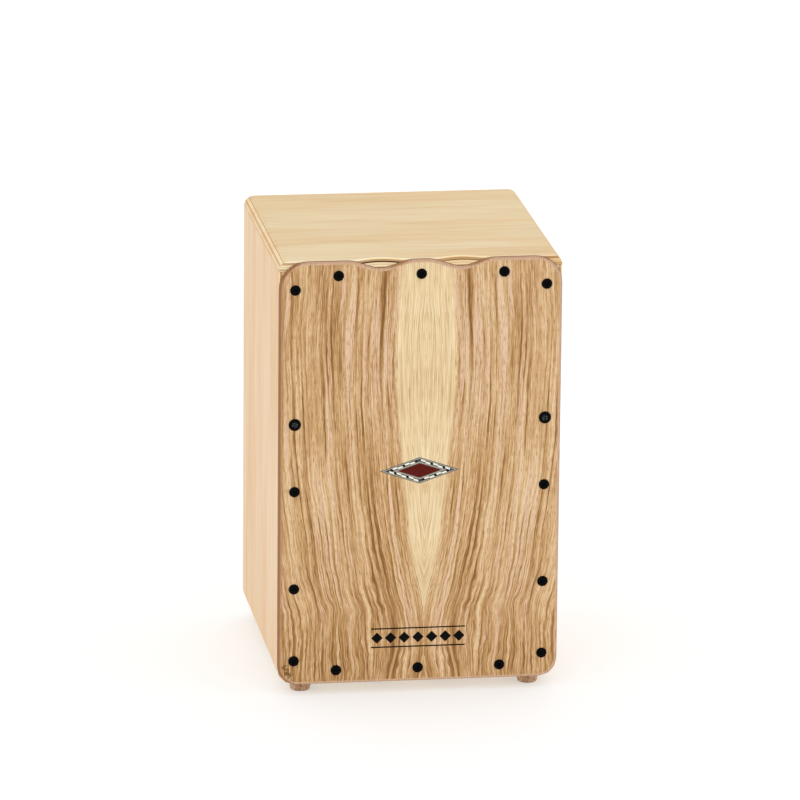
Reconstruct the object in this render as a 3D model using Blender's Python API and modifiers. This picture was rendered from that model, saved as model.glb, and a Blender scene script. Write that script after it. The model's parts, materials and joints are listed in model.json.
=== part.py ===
"""Cajon: a plywood box drum with a thin screwed-on front plate, two finger scoops, a marquetry
diamond, a rear sound hole and, inside, four snare strings stretched by two hex tuning screws.

Metres, +X to the player's right seen from the front, -Y out of the front plate, +Z up.
The origin is on the ground under the middle of the whole object.
"""
import math

import bmesh
import bpy
from mathutils import Matrix, Vector

# ---------------------------------------------------------------- driving dimensions
GAP = 0.0003                # clearance kept between pieces that touch

WIDTH = 0.250
DEPTH = 0.250               # front plate's face to the rear edges of the panels
BODY_H = 0.385
FOOT_H = 0.010
HEAD_PROUD = 0.0015         # how far the front screws' heads stand out of the front plate

PANEL_T = 0.009
PLATE_T = 0.0040            # front plate
BACK_T = 0.005
BACK_INSET = 0.001
TOP_R = 0.009               # round-over of the body's long top edges
BOTTOM_R = 0.015            # and of its long bottom edges

PLATE_TOP_R = 0.025         # corners of the front plate
PLATE_BOTTOM_R = 0.018
PLATE_ROUND = 0.0032        # round-over of its front edge
PLATE_ROUND_STEPS = 5

SCOOP_X = 0.0355            # centre of each finger scoop
SCOOP_HALF = 0.030
SCOOP_DEPTH = 0.007
SCOOP_RUN = 0.008           # how far back the scoop reaches on the top panel
SCOOP_RIM = 0.0004          # the cut starts this far above the top panel
SCOOP_STEPS = 18

BATTEN_W = 0.012
FRONT_BATTEN_D = 0.015
REAR_BATTEN_D = 0.012

SIDE_INSET = 0.0142         # screw rows from the front plate's edges
END_INSET = 0.0128
ROW_X = 0.073
SIDE_SCREW_H = (0.0224, 0.0887, 0.1778, 0.2389, 0.3602)   # above the front plate's bottom edge
MIDDLE_SCREW = 3            # the one of those that is a heavier screw
SCREW_HEAD_R = 0.00475
MIDDLE_HEAD_R = 0.0055
SCREW_R = 0.0015
SCREW_L = 0.0155
SCREW_TURN = 37             # each front screw is turned this much further than the last, degrees
DOME = ((0.55, 1.0), (0.88, 0.62))      # a screw head's dome, as shares of its radius and height
POINT = 1.8                 # length of a screw's point, in shank radii
RECESS_ARM = 0.95           # the cross recess is this share of the head's radius long
RECESS_W = 0.0009
RECESS_DEPTH = 0.0010
RECESS_SHARE = 0.7          # and at most this share of the head's height deep
SCREW_STEPS = 14

INLAY_H = 0.1940            # centre of the diamond above the front plate's bottom edge
INLAY_HALF_X = 0.035
INLAY_HALF_Z = 0.012
INLAY_T = 0.0008
INLAY_WIDTHS = (("inlay_outer_line", 0.0013), ("inlay_rope_band", 0.0023), ("inlay_inner_line", 0.0014))
INLAY_GAP = 0.0001

HOLE_R = 0.048              # sound hole
HOLE_Z = 0.234
HOLE_SIDES = 48
HOLE_EASE = 0.001            # small round on the back panel's edges

FOOT_X = 0.102
FOOT_INSET_Y = 0.022
FOOT_R = 0.0100
FOOT_SIDE = ((0.96, 1.0), (1.0, 0.78), (0.97, 0.45))    # as shares of its radius and height
FOOT_TIP_R = 0.0082
FOOT_TIP_EDGE = (1.06, 0.10)            # start of the round at its tip, as shares of tip and height
FOOT_STEPS = 24
FOOT_RECESS_R = 0.0048
FOOT_RECESS_H = 0.0050
FOOT_BORE_R = 0.0020
FOOT_SCREW_HEAD_R = 0.0038
FOOT_SCREW_HEAD_H = 0.0018
FOOT_SCREW_R = 0.0015
FOOT_SCREW_L = 0.0124
FOOT_PILOT_DEPTH = 0.0078

STRING_R = 0.0005
STRING_OFFSET = 0.0018      # string's centre behind the front plate
STRING_X = (0.014, 0.042)   # the two strings on each side
BALL_R = 0.0013
BALL_HALF = ((0.8, 0.0), (1.0, 1.0), (0.7, 1.7), (0.0, 2.0))   # radius and height, in ball radii
STRING_STEPS = 10
SLOT_W = 0.0017
SLOT_D = 0.0032

ANCHOR_W = 0.104
ANCHOR_T = 0.0015
ANCHOR_DROP = 0.0085        # its shelf hangs this far under the top batten
ANCHOR_SCREW_X = 0.028
ANCHOR_SCREW = (0.0026, 0.0014, 0.0012, 0.0072)     # head radius and height, shank radius, length
ANCHOR_PILOT_DEPTH = 0.0062

TUNER_X = 0.028
TUNER_R = 0.0025
TUNER_HEAD_R = 0.00425
TUNER_HEAD_H = 0.005
TUNER_LENGTH = 0.050
TUNER_CHAMFER = 0.0006
TUNER_STEPS = 18
TUNER_BEHIND = 0.0085       # its axis behind the bottom batten
HEX_ACROSS = 0.004
HEX_DEPTH = 0.003
KEY_HOLE_R = 0.005

BRACKET_T = 0.002
BRACKET_W = 0.104
BRACKET_LEG = 0.0165        # its leg behind the bottom batten
BRACKET_FOOT = 0.014
BRACKET_LIP = 0.005         # its front edge behind the front plate
BRACKET_SCREW_X = 0.0374
BRACKET_SCREW = (0.0030, 0.0016, 0.0014, 0.0088)    # head radius and height, shank radius, length
BRACKET_PILOT_DEPTH = 0.0072
SLIDER_W = 0.036
SLIDER_T = 0.006
SLIDER_H = 0.032            # its underside above the bracket
SLIDER_TAIL = 0.0065        # it reaches this far behind the tuning screw
PIN_R = 0.0015
PIN_OUT = 0.012             # guide pin outboard of the tuning screw
PIN_LENGTH = 0.049
PIN_CHAMFER = 0.0004
PIN_STEPS = 12

# ---------------------------------------------------------------- places worked out from them
FACE_Y = -(DEPTH + HEAD_PROUD) / 2 + HEAD_PROUD
REAR_Y = FACE_Y + DEPTH
PLATE_BACK_Y = FACE_Y + PLATE_T
FRONT_Y = PLATE_BACK_Y + GAP                # front ends of the panels
BASE_Z = FOOT_H
TOP_Z = BASE_Z + BODY_H
FLOOR_Z = BASE_Z + PANEL_T                  # inside of the bottom panel
CEILING_Z = TOP_Z - PANEL_T
WALL_X = WIDTH / 2 - PANEL_T
BATTEN_BACK_Y = FRONT_Y + FRONT_BATTEN_D
BACK_Y = REAR_Y - BACK_INSET - BACK_T       # inner face of the back panel
SIDE_SCREW_X = WIDTH / 2 - SIDE_INSET
STRING_Y = PLATE_BACK_Y + STRING_OFFSET
BATTEN_TOP_Z = FLOOR_Z + GAP + BATTEN_W     # top of the bottom front batten
BRACKET_Z = BATTEN_TOP_Z + GAP              # underside of the bracket's shelf
TUNER_Y = BATTEN_BACK_Y + TUNER_BEHIND
SLIDER_Z = BRACKET_Z + BRACKET_T + SLIDER_H
SHELF_Z = CEILING_Z - GAP - BATTEN_W - ANCHOR_DROP      # top of the anchor's shelf
EPS = 0.002                                 # how far a cutter runs past the piece it cuts
ALONG_Y = Matrix.Rotation(math.pi / 2, 4, "X")


# ---------------------------------------------------------------- helpers
def clear_scene():
    for obj in list(bpy.data.objects):
        bpy.data.objects.remove(obj, do_unlink=True)


def collection(name):
    coll = bpy.data.collections.new(name)
    bpy.context.scene.collection.children.link(coll)
    return coll


def material(name, color, roughness, metallic=0.0):
    mat = bpy.data.materials.get(name)
    if mat:
        return mat
    mat = bpy.data.materials.new(name)
    mat.use_nodes = True
    shader = mat.node_tree.nodes["Principled BSDF"]
    shader.inputs["Base Color"].default_value = (*color, 1.0)
    shader.inputs["Roughness"].default_value = roughness
    shader.inputs["Metallic"].default_value = metallic
    return mat


def birch():
    return material("birch_plywood", (0.80, 0.63, 0.41), 0.5)


def pine():
    return material("pine_batten", (0.72, 0.53, 0.31), 0.6)


def black_steel():
    return material("black_steel", (0.012, 0.012, 0.014), 0.35, 0.6)


def zinc_steel():
    return material("zinc_steel", (0.62, 0.62, 0.60), 0.35, 1.0)


def place(name, mesh, mat, location=(0, 0, 0), rotation=(0, 0, 0)):
    """Link a finished part of the cajon."""
    mesh.materials.clear()
    mesh.materials.append(mat)
    obj = bpy.data.objects.new(name, mesh)
    obj.location = location
    obj.rotation_euler = rotation
    PARTS.objects.link(obj)
    return obj


def hide_cutter(obj):
    obj.hide_render = True
    obj.display_type = "WIRE"
    return obj


def cutter(name, mesh, location=(0, 0, 0), rotation=(0, 0, 0)):
    obj = bpy.data.objects.new(name, mesh)
    obj.location = location
    obj.rotation_euler = rotation
    CUTTERS.objects.link(obj)
    return hide_cutter(obj)


def cut(obj, tool, operation="DIFFERENCE"):
    mod = obj.modifiers.new(tool.name, "BOOLEAN")
    mod.operation = operation
    mod.solver = "EXACT"
    mod.object = tool


def box_mesh(name, size):
    bm = bmesh.new()
    bmesh.ops.create_cube(bm, size=1.0)
    bmesh.ops.scale(bm, vec=size, verts=bm.verts)
    mesh = bpy.data.meshes.new(name)
    bm.to_mesh(mesh)
    bm.free()
    return mesh


def box(name, low, high, mat):
    """A block between two corners, with its origin in its middle."""
    low = Vector(low)
    high = Vector(high)
    return place(name, box_mesh(name, high - low), mat, (low + high) / 2)


def box_cutter(name, low, high):
    low = Vector(low)
    high = Vector(high)
    return cutter(name, box_mesh(name, high - low), (low + high) / 2)


def holes_cutter(name, centres, radius, length, rotation=Matrix(), sides=12):
    """Round cutters of one length, each centred on its point, as one mesh."""
    bm = bmesh.new()
    for centre in centres:
        matrix = Matrix.Translation(centre) @ rotation
        bmesh.ops.create_cone(bm, cap_ends=True, segments=sides, radius1=radius, radius2=radius,
                              depth=length, matrix=matrix)
    mesh = bpy.data.meshes.new(name)
    bm.to_mesh(mesh)
    bm.free()
    return cutter(name, mesh)


def baked(obj):
    """The evaluated mesh of an object, welded; the object itself is removed."""
    graph = bpy.context.evaluated_depsgraph_get()
    mesh = bpy.data.meshes.new_from_object(obj.evaluated_get(graph))
    mesh.name = obj.name
    bpy.data.objects.remove(obj, do_unlink=True)
    bm = bmesh.new()
    bm.from_mesh(mesh)
    bmesh.ops.remove_doubles(bm, verts=bm.verts, dist=0.00001)
    bmesh.ops.recalc_face_normals(bm, faces=bm.faces)
    bm.to_mesh(mesh)
    bm.free()
    return mesh


def outline_mesh(name, loops, thickness):
    """A flat plate in the XY plane, centred on z = 0, from closed outlines; inner ones are holes."""
    curve = bpy.data.curves.new(name, "CURVE")
    curve.dimensions = "2D"
    curve.fill_mode = "BOTH"
    curve.extrude = thickness / 2
    for loop in loops:
        spline = curve.splines.new("POLY")
        spline.points.add(len(loop) - 1)
        for point, (x, y) in zip(spline.points, loop):
            point.co = (x, y, 0.0, 1.0)
        spline.use_cyclic_u = True
    obj = bpy.data.objects.new(name, curve)
    bpy.context.scene.collection.objects.link(obj)
    mesh = baked(obj)
    bm = bmesh.new()
    bm.from_mesh(mesh)
    bmesh.ops.dissolve_limit(bm, angle_limit=0.001, verts=bm.verts, edges=bm.edges)
    bm.to_mesh(mesh)
    bm.free()
    return mesh


def turned_mesh(name, profile, steps):
    """A solid of revolution about Z; the profile (radius, z) runs down the outside."""
    mesh = bpy.data.meshes.new(name)
    points = [(radius, 0.0, z) for radius, z in profile]
    closed = profile[0] == profile[-1]
    if closed:
        points.pop()
    edges = [(i, i + 1) for i in range(len(points) - 1)]
    if closed:
        edges.append((len(points) - 1, 0))
    mesh.from_pydata(points, edges, [])
    obj = bpy.data.objects.new(name, mesh)
    bpy.context.scene.collection.objects.link(obj)
    screw = obj.modifiers.new("turn", "SCREW")
    screw.steps = steps
    screw.render_steps = steps
    screw.use_merge_vertices = True
    screw.merge_threshold = 0.00001
    mesh = baked(obj)
    mesh.shade_smooth()
    mesh.set_sharp_from_angle(angle=math.radians(35))
    return mesh


def arc(centre, radius, start_deg, end_deg, steps):
    """Points of a circular arc in a plane."""
    points = []
    for i in range(steps + 1):
        angle = math.radians(start_deg + (end_deg - start_deg) * i / steps)
        points.append((centre[0] + radius * math.cos(angle), centre[1] + radius * math.sin(angle)))
    return points


# ---------------------------------------------------------------- box
def rounded_outline(half_w, low, high, low_r, high_r, steps):
    """A rectangle with round corners, anticlockwise from its lower right."""
    points = arc((half_w - low_r, low + low_r), low_r, -90, 0, steps)
    points += arc((half_w - high_r, high - high_r), high_r, 0, 90, steps)
    points += arc((-half_w + high_r, high - high_r), high_r, 90, 180, steps)
    points += arc((-half_w + low_r, low + low_r), low_r, 180, 270, steps)
    return points


def scoop_drop(x):
    """How far the scoops lower the top edge at x."""
    away = abs(abs(x) - SCOOP_X)
    if away >= SCOOP_HALF:
        return 0.0
    return SCOOP_DEPTH * 0.5 * (1 + math.cos(math.pi * away / SCOOP_HALF))


def scoop_cutter():
    """Both scoops' outline, swept up and back over the top panel's front edge."""
    slope = math.atan2(SCOOP_DEPTH, SCOOP_RUN)
    length = 2 * SCOOP_RUN / math.cos(slope)
    loops = []
    for side in (-1, 1):
        loop = []
        for i in range(SCOOP_STEPS + 1):
            x = side * SCOOP_X + SCOOP_HALF * (2 * i / SCOOP_STEPS - 1)
            loop.append((x, (SCOOP_RIM - scoop_drop(x)) * math.cos(slope)))
        loop.append((side * SCOOP_X + SCOOP_HALF, SCOOP_DEPTH * 2))
        loop.append((side * SCOOP_X - SCOOP_HALF, SCOOP_DEPTH * 2))
        loops.append(loop)
    mesh = outline_mesh("scoops", loops, length * 2)
    return cutter("scoops", mesh, (0, FRONT_Y, TOP_Z), (math.pi / 2 + slope, 0, 0))


def make_box():
    envelope_loop = rounded_outline(WIDTH / 2, BASE_Z, TOP_Z, BOTTOM_R, TOP_R, 6)
    envelope = cutter("body_envelope", outline_mesh("body_envelope", [envelope_loop], DEPTH * 2),
                      (0, 0, 0), (math.pi / 2, 0, 0))
    half = WIDTH / 2
    top = box("top_panel", (-half, FRONT_Y, CEILING_Z), (half, REAR_Y, TOP_Z), birch())
    bottom = box("bottom_panel", (-half, FRONT_Y, BASE_Z), (half, REAR_Y, FLOOR_Z), birch())
    low = FLOOR_Z + GAP
    high = CEILING_Z - GAP
    left = box("left_panel", (-half, FRONT_Y, low), (-WALL_X, REAR_Y, high), birch())
    right = box("right_panel", (WALL_X, FRONT_Y, low), (half, REAR_Y, high), birch())
    for panel in (top, bottom, left, right):
        cut(panel, envelope, "INTERSECT")
    cut(top, scoop_cutter())
    drill_bottom(bottom)
    make_back_panel()


def foot_places():
    return [(sx * FOOT_X, y) for y in (FACE_Y + FOOT_INSET_Y, REAR_Y - FOOT_INSET_Y) for sx in (-1, 1)]


def bracket_screw_places():
    y = BATTEN_BACK_Y + BRACKET_LEG + BRACKET_T + (BRACKET_FOOT - BRACKET_T) / 2
    return [(sx * BRACKET_SCREW_X, y) for sx in (-1, 1)]


def drill_bottom(panel):
    pilots = [Vector((x, y, BASE_Z)) for x, y in foot_places()]
    cut(panel, holes_cutter("foot_pilots", pilots, FOOT_SCREW_R + GAP, 2 * FOOT_PILOT_DEPTH))
    keys = [Vector((sx * TUNER_X, TUNER_Y, BASE_Z + PANEL_T / 2)) for sx in (-1, 1)]
    cut(panel, holes_cutter("key_holes", keys, KEY_HOLE_R, PANEL_T + EPS, sides=20))
    pilots = [Vector((x, y, FLOOR_Z)) for x, y in bracket_screw_places()]
    cut(panel, holes_cutter("bracket_pilots", pilots, BRACKET_SCREW[2] + GAP, 2 * BRACKET_PILOT_DEPTH))


def make_back_panel():
    half = WALL_X - GAP
    low = (-half, BACK_Y, FLOOR_Z + GAP)
    high = (half, BACK_Y + BACK_T, CEILING_Z - GAP)
    back = box("back_panel", low, high, birch())
    hole = [Vector((0, BACK_Y + BACK_T / 2, HOLE_Z))]
    cut(back, holes_cutter("sound_hole", hole, HOLE_R, BACK_T + EPS, ALONG_Y, HOLE_SIDES))
    bevel = back.modifiers.new("eased_edges", "BEVEL")
    bevel.width = HOLE_EASE
    bevel.segments = 2
    bevel.limit_method = "ANGLE"
    bevel.angle_limit = math.radians(60)


# ---------------------------------------------------------------- battens
def front_screw_places():
    """(name, x, z, heavy) of each front screw, clockwise from the lower left."""
    low = BASE_Z + END_INSET
    high = TOP_Z - END_INSET
    places = [("left_%d" % (i + 1), -SIDE_SCREW_X, BASE_Z + h, i == MIDDLE_SCREW)
              for i, h in enumerate(SIDE_SCREW_H)]
    places += [("top_%d" % (i + 1), (i - 1) * ROW_X, high, False) for i in range(3)]
    places += [("right_%d" % (i + 1), SIDE_SCREW_X, BASE_Z + h, i == MIDDLE_SCREW)
               for i, h in enumerate(SIDE_SCREW_H)]
    places += [("bottom_%d" % (i + 1), (i - 1) * ROW_X, low, False) for i in range(3)]
    return places


def make_battens():
    """Square battens glued into the box behind the front plate and in front of the back panel."""
    pilots = [Vector((x, FRONT_Y, z)) for _, x, z, _ in front_screw_places()]
    depth = SCREW_L - PLATE_T + 2 * GAP
    drill = holes_cutter("screw_pilots", pilots, SCREW_R + GAP, 2 * depth, ALONG_Y, 10)
    outer = WALL_X - GAP
    inner = outer - BATTEN_W
    low = FLOOR_Z + GAP
    high = CEILING_Z - GAP
    rear_y = BACK_Y - GAP - REAR_BATTEN_D
    rows = (("front", FRONT_Y, BATTEN_BACK_Y), ("rear", rear_y, BACK_Y - GAP))
    battens = {}
    for row, y0, y1 in rows:
        spans = {
            "left": ((-outer, y0, low), (-inner, y1, high)),
            "right": ((inner, y0, low), (outer, y1, high)),
            "top": ((-inner + GAP, y0, high - BATTEN_W), (inner - GAP, y1, high)),
            "bottom": ((-inner + GAP, y0, low), (inner - GAP, y1, low + BATTEN_W)),
        }
        for side, (start, end) in spans.items():
            name = "%s_batten_%s" % (row, side)
            battens[name] = box(name, start, end, pine())
            if row == "front":
                cut(battens[name], drill)
    anchor_pilots = [Vector((x, BATTEN_BACK_Y, z)) for x, z in anchor_screw_places()]
    drill = holes_cutter("anchor_pilots", anchor_pilots, ANCHOR_SCREW[2] + GAP, 2 * ANCHOR_PILOT_DEPTH,
                         ALONG_Y, 10)
    cut(battens["front_batten_top"], drill)


# ---------------------------------------------------------------- front plate and marquetry
def plate_outline():
    """The front plate's edge: round corners, and a top edge that dips at the two scoops."""
    half = WIDTH / 2
    points = arc((half - PLATE_BOTTOM_R, BASE_Z + PLATE_BOTTOM_R), PLATE_BOTTOM_R, -90, 0, 7)
    points += arc((half - PLATE_TOP_R, TOP_Z - PLATE_TOP_R), PLATE_TOP_R, 0, 90, 8)
    for side in (1, -1):
        for i in range(SCOOP_STEPS + 1):
            x = side * SCOOP_X + SCOOP_HALF * (1 - 2 * i / SCOOP_STEPS)
            points.append((x, TOP_Z - scoop_drop(x)))
    points += arc((-half + PLATE_TOP_R, TOP_Z - PLATE_TOP_R), PLATE_TOP_R, 90, 180, 8)
    points += arc((-half + PLATE_BOTTOM_R, BASE_Z + PLATE_BOTTOM_R), PLATE_BOTTOM_R, 180, 270, 7)
    return points


def round_front_edge(mesh):
    """Round over the rim of the plate's +Z side, which becomes its front."""
    bm = bmesh.new()
    bm.from_mesh(mesh)
    front = max(bm.faces, key=lambda face: face.calc_center_median().z)
    bmesh.ops.bevel(bm, geom=list(front.edges), offset=PLATE_ROUND, segments=PLATE_ROUND_STEPS,
                    profile=0.5, affect="EDGES")
    bm.to_mesh(mesh)
    bm.free()


def make_front_plate():
    mesh = outline_mesh("front_plate", [plate_outline()], PLATE_T)
    round_front_edge(mesh)
    ash = material("ash_veneer_plate", (0.60, 0.39, 0.21), 0.42)
    plate = place("front_plate", mesh, ash, (0, FACE_Y + PLATE_T / 2, 0), (math.pi / 2, 0, 0))
    centres = [Vector((x, FACE_Y + PLATE_T / 2, z)) for _, x, z, _ in front_screw_places()]
    cut(plate, holes_cutter("plate_holes", centres, SCREW_R + GAP, PLATE_T + EPS, ALONG_Y, 10))
    pocket = outline_mesh("inlay_pocket", [diamond(-INLAY_GAP)], 2 * (INLAY_T + GAP))
    cut(plate, cutter("inlay_pocket", pocket, (0, FACE_Y, BASE_Z + INLAY_H), (math.pi / 2, 0, 0)))


def diamond(inset):
    """The lozenge's corners, its sides moved inwards by inset."""
    side = math.hypot(INLAY_HALF_X, INLAY_HALF_Z)
    apothem = INLAY_HALF_X * INLAY_HALF_Z / side
    scale = (apothem - inset) / apothem
    x = INLAY_HALF_X * scale
    z = INLAY_HALF_Z * scale
    return [(x, 0.0), (0.0, z), (-x, 0.0), (0.0, -z)]


def make_inlay():
    """Three nested lozenge frames and a centre, let into the front plate flush with its face."""
    colors = {
        "inlay_outer_line": (0.06, 0.06, 0.06),
        "inlay_rope_band": (0.80, 0.76, 0.62),
        "inlay_inner_line": (0.30, 0.30, 0.29),
    }
    where = (0, FACE_Y + INLAY_T / 2, BASE_Z + INLAY_H)
    inset = 0.0
    for name, width in INLAY_WIDTHS:
        loops = [diamond(inset), diamond(inset + width - INLAY_GAP)]
        mesh = outline_mesh(name, loops, INLAY_T)
        place(name, mesh, material(name, colors[name], 0.45), where, (math.pi / 2, 0, 0))
        inset += width
    mesh = outline_mesh("inlay_centre", [diamond(inset)], INLAY_T)
    place("inlay_centre", mesh, material("padauk", (0.10, 0.02, 0.012), 0.4), where, (math.pi / 2, 0, 0))


# ---------------------------------------------------------------- screws
def screw_mesh(name, head_r, head_h, shank_r, length):
    """A pan-head screw along Z, its head above z = 0 and its shank below, with a cross recess."""
    profile = [(0.0, head_h)] + [(head_r * r, head_h * h) for r, h in DOME] + [(head_r, 0.0)]
    profile += [(shank_r, 0.0), (shank_r, -length + shank_r * POINT), (0.0, -length)]
    mesh = turned_mesh(name, profile, SCREW_STEPS)
    obj = bpy.data.objects.new(name, mesh)
    bpy.context.scene.collection.objects.link(obj)
    arm = head_r * RECESS_ARM
    tools = []
    for i in range(2):
        size = Vector((arm, RECESS_W, 2 * min(RECESS_DEPTH, head_h * RECESS_SHARE)))
        turn = (0, 0, i * math.pi / 2)
        tools.append(cutter("%s_slot_%d" % (name, i), box_mesh(name, size), (0, 0, head_h), turn))
        cut(obj, tools[-1])
    mesh = baked(obj)
    for tool in tools:
        bpy.data.objects.remove(tool, do_unlink=True)
    return mesh


def make_front_screws():
    light = screw_mesh("front_screw", SCREW_HEAD_R, HEAD_PROUD - GAP, SCREW_R, SCREW_L)
    heavy = screw_mesh("middle_screw", MIDDLE_HEAD_R, HEAD_PROUD - GAP, SCREW_R, SCREW_L)
    for i, (name, x, z, is_heavy) in enumerate(front_screw_places()):
        mesh = heavy if is_heavy else light
        turn = math.radians(SCREW_TURN * i)
        place("front_screw_" + name, mesh, black_steel(), (x, FACE_Y - GAP, z), (math.pi / 2, turn, 0))


# ---------------------------------------------------------------- feet
def make_feet():
    top = BASE_Z - GAP
    profile = [(FOOT_BORE_R, top)] + [(FOOT_R * r, top * h) for r, h in FOOT_SIDE]
    profile += [
        (FOOT_TIP_R * FOOT_TIP_EDGE[0], top * FOOT_TIP_EDGE[1]), (FOOT_TIP_R, 0.0),
        (FOOT_RECESS_R, 0.0), (FOOT_RECESS_R, FOOT_RECESS_H), (FOOT_BORE_R, FOOT_RECESS_H),
        (FOOT_BORE_R, top),
    ]
    foot = turned_mesh("foot", profile, FOOT_STEPS)
    screw = screw_mesh("foot_screw", FOOT_SCREW_HEAD_R, FOOT_SCREW_HEAD_H, FOOT_SCREW_R, FOOT_SCREW_L)
    gum = material("amber_gum_rubber", (0.42, 0.24, 0.13), 0.3)
    names = ("front_left", "front_right", "rear_left", "rear_right")
    for name, (x, y) in zip(names, foot_places()):
        place("foot_" + name, foot, gum, (x, y, 0))
        place("foot_screw_" + name, screw, zinc_steel(), (x, y, FOOT_RECESS_H - GAP), (math.pi, 0, 0))


# ---------------------------------------------------------------- snare strings and their tuner
def anchor_screw_places():
    z = SHELF_Z + ANCHOR_DROP + BATTEN_W / 2
    return [(sx * ANCHOR_SCREW_X, z) for sx in (-1, 1)]


def string_xs():
    return [side * x for side in (-1, 1) for x in STRING_X]


def folded_sheet(name, path, width, thickness, mat):
    """A strip folded along a path in the YZ plane; thickness is added on the path's left."""
    half = width / 2
    bm = bmesh.new()
    verts = [bm.verts.new((-half, y, z)) for y, z in path]
    edges = [bm.edges.new(pair) for pair in zip(verts, verts[1:])]
    swept = bmesh.ops.extrude_edge_only(bm, edges=edges)["geom"]
    moved = [item for item in swept if isinstance(item, bmesh.types.BMVert)]
    bmesh.ops.translate(bm, verts=moved, vec=(width, 0, 0))
    mesh = bpy.data.meshes.new(name)
    bm.to_mesh(mesh)
    bm.free()
    obj = place(name, mesh, mat)
    solid = obj.modifiers.new("sheet", "SOLIDIFY")
    solid.thickness = thickness
    solid.offset = 1.0
    solid.use_even_offset = True
    return obj


def string_slots(name, xs, low, high):
    """Open slots, cut in from the front edge, that the strings hang in."""
    slots = []
    for i, x in enumerate(xs):
        start = (x - SLOT_W / 2, PLATE_BACK_Y - EPS, low)
        end = (x + SLOT_W / 2, PLATE_BACK_Y + SLOT_D, high)
        slots.append(box_cutter("%s_slot_%d" % (name, i + 1), start, end))
    return slots


def make_anchor():
    """The angle that the strings' upper ends hang from, screwed behind the top batten."""
    leg_y = BATTEN_BACK_Y + GAP
    path = [(PLATE_BACK_Y + 2 * GAP, SHELF_Z - ANCHOR_T), (leg_y + ANCHOR_T, SHELF_Z - ANCHOR_T),
            (leg_y + ANCHOR_T, SHELF_Z + ANCHOR_DROP + BATTEN_W * 0.85)]
    anchor = folded_sheet("string_anchor", path, ANCHOR_W, ANCHOR_T, zinc_steel())
    for slot in string_slots("anchor", string_xs(), SHELF_Z - ANCHOR_T - EPS, SHELF_Z + EPS):
        cut(anchor, slot)
    centres = [Vector((x, leg_y + ANCHOR_T / 2, z)) for x, z in anchor_screw_places()]
    cut(anchor, holes_cutter("anchor_holes", centres, ANCHOR_SCREW[2] + GAP, ANCHOR_T + EPS, ALONG_Y))
    screw = screw_mesh("anchor_screw", *ANCHOR_SCREW)
    for side, (x, z) in zip(("left", "right"), anchor_screw_places()):
        where = (x, leg_y + ANCHOR_T + GAP, z)
        place("anchor_screw_" + side, screw, zinc_steel(), where, (-math.pi / 2, 0, 0))


def make_bracket():
    """The folded shelf that holds the tuning screws down, over the bottom batten."""
    leg_y = BATTEN_BACK_Y + BRACKET_LEG
    path = [(PLATE_BACK_Y + BRACKET_LIP, BRACKET_Z), (leg_y, BRACKET_Z), (leg_y, FLOOR_Z + GAP),
            (leg_y + BRACKET_FOOT, FLOOR_Z + GAP)]
    bracket = folded_sheet("tuner_bracket", path, BRACKET_W, BRACKET_T, zinc_steel())
    middle = BRACKET_Z + BRACKET_T / 2
    centres = [Vector((sx * TUNER_X, TUNER_Y, middle)) for sx in (-1, 1)]
    cut(bracket, holes_cutter("tuner_holes", centres, TUNER_R + GAP, BRACKET_T + EPS, sides=16))
    centres = [Vector((sx * (TUNER_X + PIN_OUT), TUNER_Y, middle)) for sx in (-1, 1)]
    cut(bracket, holes_cutter("pin_holes", centres, PIN_R + GAP, BRACKET_T + EPS))
    centres = [Vector((x, y, FLOOR_Z + GAP + BRACKET_T / 2)) for x, y in bracket_screw_places()]
    cut(bracket, holes_cutter("bracket_holes", centres, BRACKET_SCREW[2] + GAP, BRACKET_T + EPS))
    screw = screw_mesh("bracket_screw", *BRACKET_SCREW)
    for side, (x, y) in zip(("left", "right"), bracket_screw_places()):
        place("bracket_screw_" + side, screw, zinc_steel(), (x, y, FLOOR_Z + BRACKET_T + 2 * GAP))


def tuning_screw_mesh():
    """A hex-socket screw, its head down and its shank up, with the underside of its head at z = 0."""
    profile = [(0.0, TUNER_LENGTH), (TUNER_R - TUNER_CHAMFER, TUNER_LENGTH),
               (TUNER_R, TUNER_LENGTH - TUNER_CHAMFER), (TUNER_R, 0.0), (TUNER_HEAD_R, 0.0),
               (TUNER_HEAD_R, -TUNER_HEAD_H + TUNER_CHAMFER),
               (TUNER_HEAD_R - TUNER_CHAMFER, -TUNER_HEAD_H), (0.0, -TUNER_HEAD_H)]
    obj = bpy.data.objects.new("tuning_screw", turned_mesh("tuning_screw", profile, TUNER_STEPS))
    bpy.context.scene.collection.objects.link(obj)
    socket_r = HEX_ACROSS / math.sqrt(3)
    socket = holes_cutter("hex_socket", [Vector((0, 0, -TUNER_HEAD_H))], socket_r, 2 * HEX_DEPTH, sides=6)
    cut(obj, socket)
    mesh = baked(obj)
    bpy.data.objects.remove(socket, do_unlink=True)
    return mesh


def guide_pin_mesh():
    profile = [(0.0, PIN_LENGTH), (PIN_R - PIN_CHAMFER, PIN_LENGTH),
               (PIN_R, PIN_LENGTH - PIN_CHAMFER), (PIN_R, 0.0), (0.0, 0.0)]
    return turned_mesh("guide_pin", profile, PIN_STEPS)


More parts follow.
